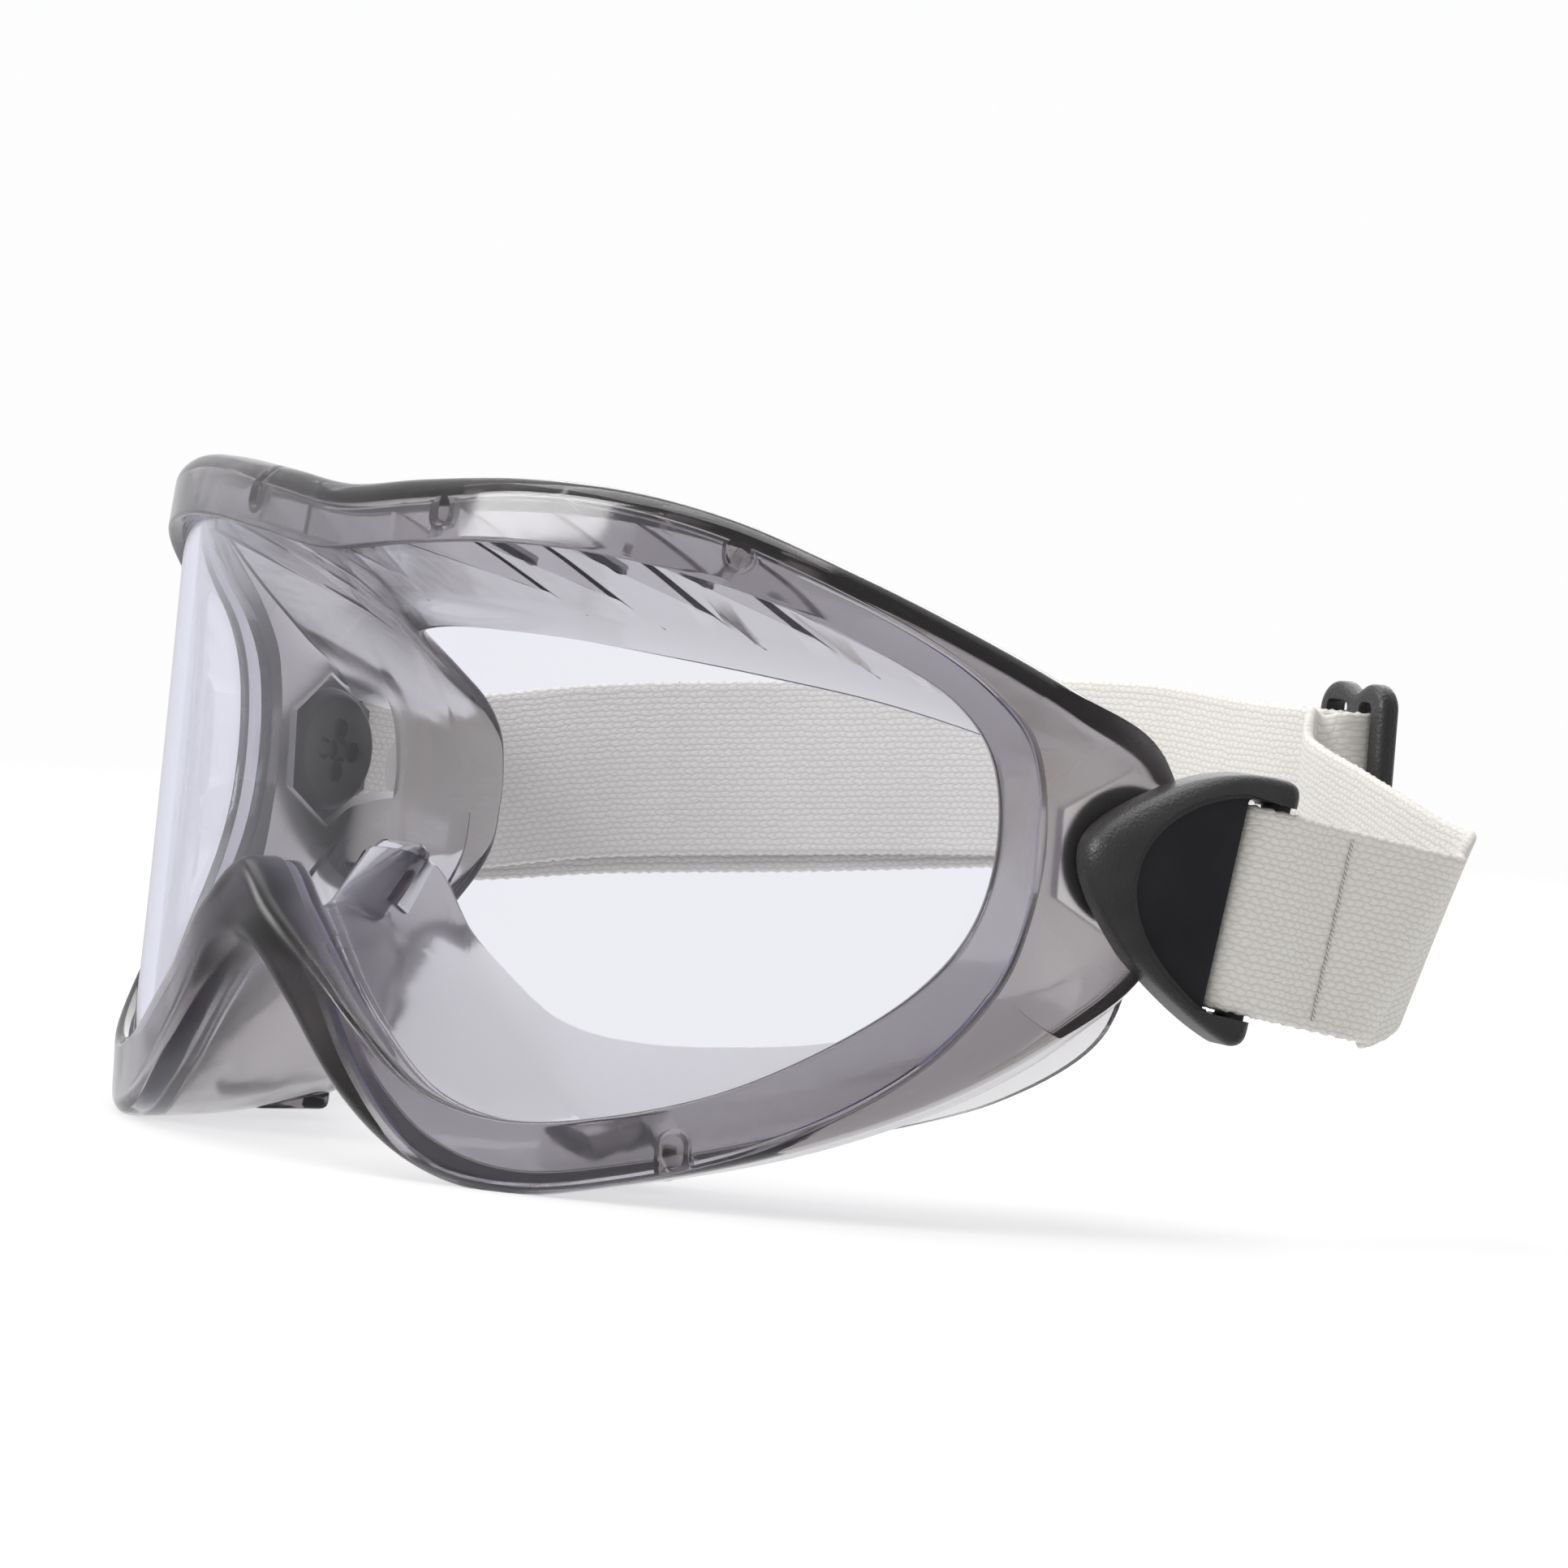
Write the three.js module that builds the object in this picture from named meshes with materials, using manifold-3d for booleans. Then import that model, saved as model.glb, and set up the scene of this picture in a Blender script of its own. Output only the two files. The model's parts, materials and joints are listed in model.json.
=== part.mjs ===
// Ventilated wrap-around safety goggles: soft frame, clear lens, two swivelling strap
// clips with their snap buttons, and an elastic strap with a slider.
//
// Millimetres. +X is the wearer's left, -Y is the front, +Z is up. The pieces are drawn
// from the front of the lens on its centre line, at temple height. The finished group
// is then moved so that the origin is the bottom centre of its box.

import * as THREE from 'three';
import { mergeVertices } from 'three/addons/utils/BufferGeometryUtils.js';
import Module from 'manifold-3d';

const wasm = await Module();
wasm.setup();

// ---------------------------------------------------------------- driving dimensions

const LENS_RADIUS = 93.2;        // outer face of the lens, seen from above
const LENS_THICKNESS = 2.0;
const LENS_LEAN = 0.125;         // how far the brow leans back, per mm of height
const LEAN_PIVOT_Z = -9;
const LEAN_END_DEG = 50;         // the lean fades out towards the temples

const LIP_PROUD = 2.3;           // frame lip in front of the lens
const GROOVE_GAP = 0.3;          // clearance round the lens in its groove
const GROOVE_DEPTH_GAP = 0.6;
const SEAT_THICKNESS = 1.8;      // frame web behind the lens
const SHOULDER_DROP = 0.8;       // rim edge behind the lens face
const WALL = 1.9;
const FLANGE = 1.3;

const SECTIONS = 112;            // loft sections round the frame

// One row per station, from the brow centre round the left side to the nose centre.
// rim and lip are [degrees round the lens, height]; bend is where the wall meets the
// face flange; edge is the flange's free edge; hold is how far into the rim the lens
// reaches.
const STATIONS = [
  { rim: [0, 38.2], lip: [0, 29.8], bend: [0, 31, 25.5], edge: [0, 33.5, 21.5], hold: 0.6 },
  { rim: [9, 39.5], lip: [9, 31.3], bend: [13, 32.2, 25.3], edge: [12.5, 34.8, 21.3], hold: 0.6 },
  { rim: [19, 40.5], lip: [18, 32.4], bend: [26, 36.2, 24.4], edge: [25, 39, 20.3], hold: 0.66 },
  { rim: [29, 40.2], lip: [27, 32.2], bend: [38, 43.2, 22.9], edge: [36.5, 46.5, 18.9], hold: 0.66 },
  { rim: [39, 37.5], lip: [36, 30.4], bend: [49.5, 53, 20.6], edge: [47.5, 56.8, 16.8], hold: 0.62 },
  { rim: [49, 32.1], lip: [44.5, 27], bend: [59.5, 63.6, 16.8], edge: [56.8, 67.7, 13.4], hold: 0.56 },
  { rim: [58, 26.1], lip: [51.5, 22.4], bend: [66.5, 72.5, 11.8], edge: [63.2, 76.7, 9.6], hold: 0.5 },
  { rim: [66, 20], lip: [56.6, 17.6], bend: [70.2, 77.6, 6.5], edge: [66.5, 81.8, 5.4], hold: 0.36 },
  { rim: [73, 13.6], lip: [59.6, 11], bend: [71.5, 79.4, 1.2], edge: [67.6, 83.5, 0.8], hold: 0.25 },
  { rim: [75.8, 0], lip: [60.4, 1.5], bend: [71.5, 79.6, -5.5], edge: [67.6, 83.5, -5] , hold: 0.22 },
  { rim: [73, -13.2], lip: [59.2, -8.2], bend: [70.8, 78.4, -13.5], edge: [66.6, 81.6, -12], hold: 0.26 },
  { rim: [66, -22.6], lip: [55.8, -16.2], bend: [67.8, 72.8, -22.4], edge: [62, 73.5, -18], hold: 0.42 },
  { rim: [57, -31.1], lip: [50, -23.6], bend: [62, 63.4, -30.2], edge: [55.5, 62.5, -23], hold: 0.62 },
  { rim: [46, -38.3], lip: [42, -30.8], bend: [53.5, 52, -36.6], edge: [47.5, 51, -26.5], hold: 0.78 },
  { rim: [35, -43.4], lip: [33.5, -35.2], bend: [44.5, 43, -40.2], edge: [39, 42.8, -28], hold: 0.84 },
  { rim: [26, -46.1], lip: [26, -36.8], bend: [35.5, 36.5, -42], edge: [30.5, 37, -28.6], hold: 0.82 },
  { rim: [18.5, -43.6], lip: [19, -34.2], bend: [26.5, 31.5, -40], edge: [22, 32.8, -27.8], hold: 0.82 },
  { rim: [11.5, -36.6], lip: [13, -27], bend: [19.2, 27.8, -33], edge: [15, 29.6, -24.6], hold: 0.6 },
  { rim: [6, -27.3], lip: [8.4, -20.2], bend: [13.4, 23.8, -24.4], edge: [9.6, 26, -18.6], hold: 0.4 },
  { rim: [2.6, -21.8], lip: [4.4, -14.3], bend: [7.6, 20.4, -17], edge: [5.4, 22.8, -12.4], hold: 0.4 },
  { rim: [0, -20.6], lip: [0, -8.8], bend: [0, 19.4, -14.6], edge: [0, 21.8, -10], hold: 0.4 },
];

// Lens notches and the pegs that key them: [degrees, height].
const NOTCHES = [[12.2, 35.2], [39.5, 33.2], [38.6, -38.0]];
const PEG_RADIUS = 1.6;
const NOTCH_RADIUS = 2.2;

// Strap clip: the facet it turns on, and its outline in its own plane.
const PIVOT = new THREE.Vector3(87.55, 63.8, 0.6);  // on the outer face of the facet
const FACET_YAW = THREE.MathUtils.degToRad(14.5);   // facet normal, towards the front
const CLIP_DIP = THREE.MathUtils.degToRad(9.2);       // strap end hangs lower
const CLIP_GAP = 0.4;
const CLIP_THICKNESS = 6.4;
const CLIP_REAR = 17.0;
const CLIP_HALF_HEIGHT = 16.4;
const CLIP_DROP = -3.1;          // centre of the clip's outline, below its stud
const CLIP_NOSE_RADIUS = 8.4;
const RIGHT_DIP = THREE.MathUtils.degToRad(4.7);
const SLOT = { from: 10.6, to: 14.2, low: -16.2, high: 10.2 };   // behind it the bar
const BAR = { inner: 1.9, outer: 4.3 };             // bar, above the facet
const STUD_RADIUS = 3.4;
const BORE_RADIUS = 3.8;
const PAD_RADIUS = 9.6;
const FACET_WALL = 2.4;
const BUTTON = { radius: 8.7, thickness: 2.6, gap: 0.3, lobe: 1.5, lobeAt: 3.0, hole: 1.3 };

// Elastic strap.
const STRAP_WIDTH = 25;
const STRAP_THICKNESS = 1.5;
const SEAM_REACH = 28.2;         // sewn loop's rear end, from the pivot
const SWING_GAP = 0.6;

// Slider: three upright bars with rounded tops, in its own axes.
const SLIDER = {
  centre: new THREE.Vector3(42, 143, 6.2),
  yaw: THREE.MathUtils.degToRad(-8),
  left: -8, right: 6.9, height: 32, thickness: 3, window: 27,
  leftBar: 2, middleBar: 2.7, rightBar: 2.7,
};

// ---------------------------------------------------------------- materials

function plastic(color, roughness, opacity = 1) {
  return new THREE.MeshStandardMaterial({
    color, roughness, metalness: 0, opacity, transparent: opacity < 1,
  });
}

const MATERIALS = {
  frame: plastic(0x6f6a78, 0.32, 0.6),
  lens: plastic(0xe9e8f4, 0.05, 0.25),
  clip: plastic(0x2b2b2e, 0.45),
  strap: plastic(0xdad7cf, 0.95),
  thread: plastic(0xf2f0ea, 0.9),
};

// ---------------------------------------------------------------- solids and booleans

function toSolid(geometry) {
  const bare = geometry.clone();
  for (const name of Object.keys(bare.attributes)) {
    if (name !== 'position') bare.deleteAttribute(name);
  }
  const merged = mergeVertices(bare, 1e-5);
  return new wasm.Manifold(new wasm.Mesh({
    numProp: 3,
    vertProperties: new Float32Array(merged.attributes.position.array),
    triVerts: new Uint32Array(merged.index.array),
  }));
}

function toGeometry(solid) {
  const mesh = solid.getMesh();
  const geometry = new THREE.BufferGeometry();
  geometry.setAttribute('position', new THREE.BufferAttribute(mesh.vertProperties, 3));
  geometry.setIndex(new THREE.BufferAttribute(mesh.triVerts, 1));
  geometry.computeVertexNormals();
  return geometry;
}

const sum = (solids) => solids.reduce((a, b) => a.add(b));
const minus = (solid, cutters) => cutters.reduce((a, b) => a.subtract(b), solid);

// Closed surface over a grid of points: rings[i][j], wrapping in j, and in i if closed.
function loft(rings, closed) {
  const count = rings[0].length;
  const positions = rings.flat().flatMap((p) => [p.x, p.y, p.z]);
  const index = [];
  const spans = closed ? rings.length : rings.length - 1;
  for (let i = 0; i < spans; i += 1) {
    const next = (i + 1) % rings.length;
    for (let j = 0; j < count; j += 1) {
      const k = (j + 1) % count;
      const [a, b, c, d] = [i * count + j, i * count + k, next * count + k, next * count + j];
      index.push(a, b, c, a, c, d);
    }
  }
  if (!closed) {
    const last = (rings.length - 1) * count;
    for (let j = 1; j < count - 1; j += 1) {
      index.push(0, j + 1, j);
      index.push(last, last + j, last + j + 1);
    }
  }
  const geometry = new THREE.BufferGeometry();
  geometry.setAttribute('position', new THREE.Float32BufferAttribute(positions, 3));
  geometry.setIndex(index);
  return outward(geometry);
}

// Flips a closed geometry whose faces point inwards.
function outward(geometry) {
  const p = geometry.attributes.position;
  const index = geometry.index.array;
  let volume = 0;
  const [a, b, c] = [new THREE.Vector3(), new THREE.Vector3(), new THREE.Vector3()];
  for (let i = 0; i < index.length; i += 3) {
    a.fromBufferAttribute(p, index[i]);
    b.fromBufferAttribute(p, index[i + 1]);
    c.fromBufferAttribute(p, index[i + 2]);
    volume += a.dot(b.cross(c));
  }
  if (volume < 0) {
    for (let i = 0; i < index.length; i += 3) {
      [index[i + 1], index[i + 2]] = [index[i + 2], index[i + 1]];
    }
  }
  return geometry;
}

// Straight prism of a 2-D outline, from z = low to z = high.
function prism(outline, low, high, bevel = 0) {
  const shape = outline instanceof THREE.Shape ? outline : new THREE.Shape(outline);
  const geometry = new THREE.ExtrudeGeometry(shape, {
    depth: high - low - 2 * bevel,
    bevelEnabled: bevel > 0,
    bevelThickness: bevel,
    bevelSize: bevel,
    bevelOffset: -bevel,
    bevelSegments: 3,
    curveSegments: 10,
  });
  geometry.translate(0, 0, low + bevel);
  return toSolid(geometry);
}

function rod(radius, low, high, segments = 40) {
  const geometry = new THREE.CylinderGeometry(radius, radius, high - low, segments);
  geometry.rotateX(Math.PI / 2);
  geometry.translate(0, 0, (low + high) / 2);
  return toSolid(geometry);
}

function slab(x0, x1, y0, y1, z0, z1) {
  const geometry = new THREE.BoxGeometry(x1 - x0, y1 - y0, z1 - z0);
  geometry.translate((x0 + x1) / 2, (y0 + y1) / 2, (z0 + z1) / 2);
  return toSolid(geometry);
}

const place = (solid, matrix) => solid.transform([...matrix.elements]);
const MIRROR = new THREE.Matrix4().makeScale(-1, 1, 1);
const mirrored = (solid) => place(solid, MIRROR);

function axes(origin, x, y, z) {
  return new THREE.Matrix4().makeBasis(x, y, z).setPosition(origin);
}

// ---------------------------------------------------------------- lens surface

// Point on the lens surface, angle round it and height, moved off the front face.
function lensPoint([degrees, z], off) {
  const angle = THREE.MathUtils.degToRad(degrees);
  const fade = Math.max(0, 1 - (degrees / LEAN_END_DEG) ** 2) ** 2;
  const radius = LENS_RADIUS + off;
  const lean = LENS_LEAN * (z - LEAN_PIVOT_Z) * fade;
  return new THREE.Vector3(
    radius * Math.sin(angle),
    LENS_RADIUS - radius * Math.cos(angle) + lean,
    z,
  );
}

const mix = (a, b, t) => a.map((v, i) => v + (b[i] - v) * t);
const mirrorAngle = ([degrees, z]) => [-degrees, z];
const mirrorPoint = ([x, y, z]) => [-x, y, z];

// Full closed ring of stations, left side then right side.
function stationRing() {
  const right = STATIONS.slice(1, -1).reverse().map((s) => ({
    rim: mirrorAngle(s.rim),
    lip: mirrorAngle(s.lip),
    bend: mirrorPoint(s.bend),
    edge: mirrorPoint(s.edge),
    hold: s.hold,
  }));
  return [...STATIONS, ...right];
}

// Smooth closed curve through one value of every station, sampled at each section.
function ringCurve(pick) {
  const points = stationRing().map((s) => new THREE.Vector3(...pick(s)));
  const curve = new THREE.CatmullRomCurve3(points, true, 'catmullrom', 0.5);
  return Array.from({ length: SECTIONS }, (_, i) => {
    const p = curve.getPoint(i / SECTIONS);
    return [p.x, p.y, p.z];
  });
}

const RING = {
  rim: ringCurve((s) => [...s.rim, 0]),
  lip: ringCurve((s) => [...s.lip, 0]),
  bend: ringCurve((s) => s.bend),
  edge: ringCurve((s) => s.edge),
  hold: ringCurve((s) => [s.hold, 0, 0]),
};

// The lens reaches this far into the rim at section i, as [degrees, height].
function lensEdge(i, extra = 0) {
  const [lip, rim] = [RING.lip[i], RING.rim[i]];
  const band = lensPoint(rim, 0).distanceTo(lensPoint(lip, 0));
  return mix(lip, rim, RING.hold[i][0] + extra / band);
}

// ---------------------------------------------------------------- frame

// Points of one C-shaped section: lip, rim, wall, face flange and back to the groove.
function frameSection(i) {
  const lip = RING.lip[i];
  const rim = RING.rim[i];
  const inward = (t) => mix(lip, rim, t);
  const groove = lensEdge(i, GROOVE_DEPTH_GAP);
  const back = -LENS_THICKNESS - GROOVE_GAP;
  const seat = back - SEAT_THICKNESS;

  const shoulder = lensPoint(rim, -SHOULDER_DROP);
  const bend = new THREE.Vector3(...RING.bend[i]);
  const edge = new THREE.Vector3(...RING.edge[i]);
  const along = tangent(i);
  const wallIn = inwardNormal(shoulder, bend, along);
  const flangeIn = inwardNormal(bend, edge, along);
  const corner = wallIn.clone().add(flangeIn).divideScalar(1 + wallIn.dot(flangeIn));
  const bulge = wallIn.clone().multiplyScalar(-1.2);
  const middle = shoulder.clone().lerp(bend, 0.45).add(bulge);

  return [
    lensPoint(lip, LIP_PROUD),
    lensPoint(inward(0.82), LIP_PROUD - 0.5),
    lensPoint(inward(0.96), LIP_PROUD - 1.6),
    shoulder,
    middle,
    bend,
    edge,
    edge.clone().addScaledVector(flangeIn, FLANGE),
    bend.clone().addScaledVector(corner, WALL),
    middle.clone().addScaledVector(wallIn, WALL),
    wallFront(shoulder, bend, wallIn, seat),
    lensPoint(inward(0.05), seat),
    lensPoint(inward(0.05), back),
    lensPoint(groove, back),
    lensPoint(groove, GROOVE_GAP),
    lensPoint(lip, GROOVE_GAP),
  ];
}

// Inner face of the wall, just behind the seat.
function wallFront(shoulder, bend, wallIn, seat) {
  const depth = -seat - SHOULDER_DROP + 0.6;
  const run = bend.clone().sub(shoulder).normalize();
  return shoulder.clone().addScaledVector(run, depth).addScaledVector(wallIn, WALL);
}

// Direction of the ring at section i.
function tangent(i) {
  const at = (k) => new THREE.Vector3(...RING.bend[(k + SECTIONS) % SECTIONS])
    .add(lensPoint(RING.rim[(k + SECTIONS) % SECTIONS], 0));
  return at(i + 1).sub(at(i - 1)).normalize();
}

// Unit normal of the wall from a to b, towards the inside of the goggles.
function inwardNormal(a, b, along) {
  return b.clone().sub(a).cross(along).normalize();
}

// Cylinder that crosses the lens channel at a notch, on both sides.
function crossing(notch, radius) {
  const front = lensPoint(notch, LIP_PROUD - 1.2);
  const rear = lensPoint(notch, -LENS_THICKNESS - 1.2);
  const z = rear.clone().sub(front).normalize();
  const x = new THREE.Vector3(0, 0, 1).cross(z).normalize();
  const y = z.clone().cross(x);
  const solid = place(rod(radius, 0, front.distanceTo(rear), 20), axes(front, x, y, z));
  return [solid, mirrored(solid)];
}

// Axes at the left clip's pivot: x towards the strap, y up, z out of the facet.
function clipAxes(dip = CLIP_DIP) {
  const out = new THREE.Vector3(Math.cos(FACET_YAW), -Math.sin(FACET_YAW), 0);
  const rear = new THREE.Vector3(Math.sin(FACET_YAW), Math.cos(FACET_YAW), 0);
  const up = new THREE.Vector3(0, 0, 1);
  const x = rear.clone().multiplyScalar(Math.cos(dip)).addScaledVector(up, -Math.sin(dip));
  const y = rear.clone().multiplyScalar(Math.sin(dip)).addScaledVector(up, Math.cos(dip));
  return axes(PIVOT, x, y, out);
}

const CLIP_AXES = clipAxes();

const VENT_STATIONS = [1.2, 2.1, 3.0, 3.9];   // top vents, counted in stations
const VENT_SIZE = [2.2, 8];

// Slanted slots through the top wall, just behind the rim.
function ventCutters() {
  return VENT_STATIONS.flatMap((station) => {
    const i = Math.round(station * SECTIONS / (2 * (STATIONS.length - 1)));
    const shoulder = lensPoint(RING.rim[i], -SHOULDER_DROP);
    const bend = new THREE.Vector3(...RING.bend[i]);
    const z = inwardNormal(shoulder, bend, tangent(i));
    const slant = bend.clone().sub(shoulder).normalize().addScaledVector(tangent(i), 0.5);
    const x = slant.addScaledVector(z, -slant.dot(z)).normalize();
    const y = z.clone().cross(x);
    const centre = shoulder.clone().lerp(bend, 0.5);
    const [w, l] = VENT_SIZE;
    const solid = place(slab(-l / 2, l / 2, -w / 2, w / 2, -4, 6), axes(centre, x, y, z));
    return [solid, mirrored(solid)];
  });
}

// Hooded lower vents: a shallow box under each cheek.
const HOOD = { x: [32.5, 42.5], y: [20, 33.5], z: [-44.3, -40] };
const FOOT_Z = -45.6;            // the cheeks' undersides are flat here, to stand on

function hoods() {
  const outline = [
    [HOOD.y[0], HOOD.z[1]], [HOOD.y[0] + 1.5, HOOD.z[0]],
    [HOOD.y[1], HOOD.z[0]], [HOOD.y[1], HOOD.z[1]],
  ].map(([a, b]) => new THREE.Vector2(a, b));
  const solid = prism(outline, HOOD.x[0], HOOD.x[1]);
  const turn = axes(new THREE.Vector3(), new THREE.Vector3(0, 1, 0),
    new THREE.Vector3(0, 0, 1), new THREE.Vector3(1, 0, 0));
  const left = place(solid, turn);
  return [left, mirrored(left)];
}

// Slits that free the nose saddle from the cheek flanges.
function noseSlits() {
  const solid = slab(-5, 5, -0.8, 0.8, -4, 4);
  const turn = new THREE.Matrix4().makeRotationY(THREE.MathUtils.degToRad(48));
  turn.setPosition(8.2, 24.6, -14.8);
  const left = place(solid, turn);
  return [left, mirrored(left)];
}

function frameSolid() {
  const rings = Array.from({ length: SECTIONS }, (_, i) => frameSection(i));
  const shell = toSolid(loft(rings, true));
  const facet = clipAxes(0);
  const both = (solid) => [place(solid, facet), mirrored(place(solid, facet))];
  const pads = both(rod(PAD_RADIUS, -FACET_WALL, 0));
  const pockets = [
    ...both(rod(PAD_RADIUS - 0.3, -FACET_WALL - 7, -FACET_WALL)),
    ...both(rod(PAD_RADIUS + 14, 0, 3)),
    ...both(rod(BORE_RADIUS, -10, 10)),
  ];
  const pegs = NOTCHES.flatMap((n) => crossing(n, PEG_RADIUS));
  const under = slab(-100, 100, -20, 60, FOOT_Z - 20, FOOT_Z);
  const solid = sum([shell, ...pads, ...pegs, ...hoods()]);
  return minus(solid, [under, ...pockets, ...ventCutters(), ...noseSlits()]);
}

// ---------------------------------------------------------------- lens

const LENS_COLUMNS = 72;

// Height of the lens edge at an angle, along one half of its outline.
function heightAt(outline, degrees) {
  const k = outline.findIndex(([d]) => d >= degrees);
  const [a, b] = [outline[Math.max(k - 1, 0)], outline[Math.max(k, 1)]];
  return a[1] + (b[1] - a[1]) * (degrees - a[0]) / (b[0] - a[0]);
}

// Curved sheet, upright columns from the right temple to the left one.
function lensSolid() {
  const half = Array.from({ length: SECTIONS / 2 + 1 }, (_, i) => lensEdge(i));
  const widest = half.reduce((best, [d], i) => (d > half[best][0] ? i : best), 0);
  const top = half.slice(0, widest + 1);
  const bottom = half.slice(widest).reverse();
  const end = half[widest][0] - 0.25;
  const rings = Array.from({ length: LENS_COLUMNS + 1 }, (_, i) => {
    const degrees = end * Math.sin((i / LENS_COLUMNS - 0.5) * Math.PI);
    const high = [degrees, heightAt(top, Math.abs(degrees))];
    const low = [degrees, heightAt(bottom, Math.abs(degrees))];
    return [
      lensPoint(low, 0), lensPoint(high, 0),
      lensPoint(high, -LENS_THICKNESS), lensPoint(low, -LENS_THICKNESS),
    ];
  });
  const notches = NOTCHES.flatMap((n) => crossing(n, NOTCH_RADIUS));
  return minus(toSolid(loft(rings, false)), notches);
}

// ---------------------------------------------------------------- strap ribbons

// Unit normal of a band at each point of its path.
function bandNormals(points, ups) {
  return points.map((_, i) => {
    const ahead = points[Math.min(i + 1, points.length - 1)];
    const behind = points[Math.max(i - 1, 0)];
    return ahead.clone().sub(behind).cross(ups[i]).normalize();
  });
}

// Flat band along a path: a rectangle at each point, its long side along up. Where up
// leans along the path, the rectangle is longer, so that the band keeps its width.
function ribbon(points, ups, width = STRAP_WIDTH, thickness = STRAP_THICKNESS) {
  const normals = bandNormals(points, ups);
  const rings = points.map((p, i) => {
    const ahead = points[Math.min(i + 1, points.length - 1)].clone();
    const run = ahead.sub(points[Math.max(i - 1, 0)]).normalize();
    const slant = run.cross(ups[i]).length();
    const up = ups[i].clone().multiplyScalar(width / 2 / slant);
    const side = normals[i].clone().multiplyScalar(thickness / 2);
    return [
      p.clone().add(up).add(side), p.clone().add(up).sub(side),
      p.clone().sub(up).sub(side), p.clone().sub(up).add(side),
    ];
  });
  return toSolid(loft(rings, false));
}

// Smooth path through control points, count points long.
function smooth(points, count) {
  const curve = new THREE.CatmullRomCurve3(points, false, 'centripetal');
  return curve.getPoints(count);
}

// Path that runs in, wraps round a bar and runs back, in a local x-z plane.
function hairpin({ far, join, bar, middle, reach, gap, turn, drop = STRAP_DROP }) {
  const half = bar + gap + STRAP_THICKNESS / 2;
  const closed = (STRAP_THICKNESS + gap) / 2;
  const way = Math.sign(turn - far);
  const leg = [[far, closed], [join, closed], [reach, half]];
  const arc = Array.from({ length: 9 }, (_, i) => {
    const angle = Math.PI / 2 - Math.PI * i / 8;
    return [turn + way * half * Math.cos(angle), half * Math.sin(angle)];
  });
  const path = [...leg, ...arc, ...leg.map(([x, z]) => [x, -z]).reverse()];
  return path.map(([x, z]) => new THREE.Vector3(x, drop, middle + z));
}

const STRAP_DROP = -0.5;         // strap centre below the slider's centre
const CLIP_STRAP_DROP = -3.0;    // strap centre below the clip's stud
const Y_AXIS = new THREE.Vector3(0, 1, 0);
const UPRIGHT = new THREE.Vector3(0, 0, 1);
const level = (points, up = Y_AXIS) => points.map(() => up);

// ---------------------------------------------------------------- strap clip

function clipOutline() {
  const [rear, round, nose] = [CLIP_REAR, 2.2, CLIP_NOSE_RADIUS];
  const [top, bottom] = [CLIP_DROP + CLIP_HALF_HEIGHT, CLIP_DROP - CLIP_HALF_HEIGHT];
  const shape = new THREE.Shape();
  shape.moveTo(rear, bottom + round);
  shape.lineTo(rear, top - round);
  shape.quadraticCurveTo(rear, top, rear - round, top);
  shape.bezierCurveTo(9.5, top + 0.1, 4.5, 12, 0, 8.8);
  shape.bezierCurveTo(-3.6, 6.4, -nose, 3.2, -nose, -0.3);
  shape.bezierCurveTo(-nose, -4, -4.4, -8, 0.1, -12);
  shape.bezierCurveTo(4.3, -14.8, 9.5, -18, rear - round, bottom);
  shape.quadraticCurveTo(rear, bottom, rear, bottom + round);
  return shape;
}

// Sunken smooth panel in front of the strap slot.
function panelOutline() {
  const shape = new THREE.Shape();
  shape.moveTo(SLOT.to, SLOT.low);
  shape.lineTo(SLOT.to, SLOT.high);
  shape.lineTo(SLOT.from, SLOT.high);
  shape.bezierCurveTo(3.5, 9, -2.3, 4, -2.3, -1.8);
  shape.bezierCurveTo(-2.3, -7.4, 2.6, -12.2, SLOT.from, SLOT.low);
  return shape;
}

const PANEL_DEPTH = 1.5;

// Clip in its own axes: base on the facet, stud through the frame, slot and bar.
function clipSolid() {
  const top = CLIP_GAP + CLIP_THICKNESS;
  const body = prism(clipOutline(), CLIP_GAP, top, 1.5);
  const stud = rod(STUD_RADIUS, -FACET_WALL - BUTTON.gap - 0.6, CLIP_GAP + 1, 28);
  const rear = CLIP_REAR + 1;
  return minus(body.add(stud), [
    prism(panelOutline(), top - PANEL_DEPTH, top + 1),
    slab(SLOT.from, SLOT.to, SLOT.low, SLOT.high, -1, top + 1),
    slab(SLOT.to - 0.1, rear, SLOT.low, SLOT.high, BAR.outer, top + 1),
    slab(SLOT.to - 0.1, rear, SLOT.low, SLOT.high, -1, BAR.inner),
  ]);
}

// Snap button inside the frame, with a four-lobed recess round a centre hole.
function buttonSolid() {
  const outer = -FACET_WALL - BUTTON.gap;
  const inner = outer - BUTTON.thickness;
  const lobes = [0, 1, 2, 3].map((k) => {
    const lobe = rod(BUTTON.lobe, inner - 1, inner + 1.2, 18);
    const turn = k * Math.PI / 2;
    return lobe.translate([BUTTON.lobeAt * Math.cos(turn), BUTTON.lobeAt * Math.sin(turn), 0]);
  });
  const dome = new THREE.CylinderGeometry(
    BUTTON.radius, BUTTON.radius - 1.1, BUTTON.thickness, 44);
  dome.rotateX(Math.PI / 2);
  dome.translate(0, 0, (outer + inner) / 2);
  return minus(toSolid(dome), [
    ...lobes,
    rod(2.0, inner - 1, inner + 1.2, 20),
    rod(BUTTON.hole, inner - 1, outer + 1, 16),
    rod(STUD_RADIUS + 0.1, outer - 0.7, outer + 1, 28),
  ]);
}

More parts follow.
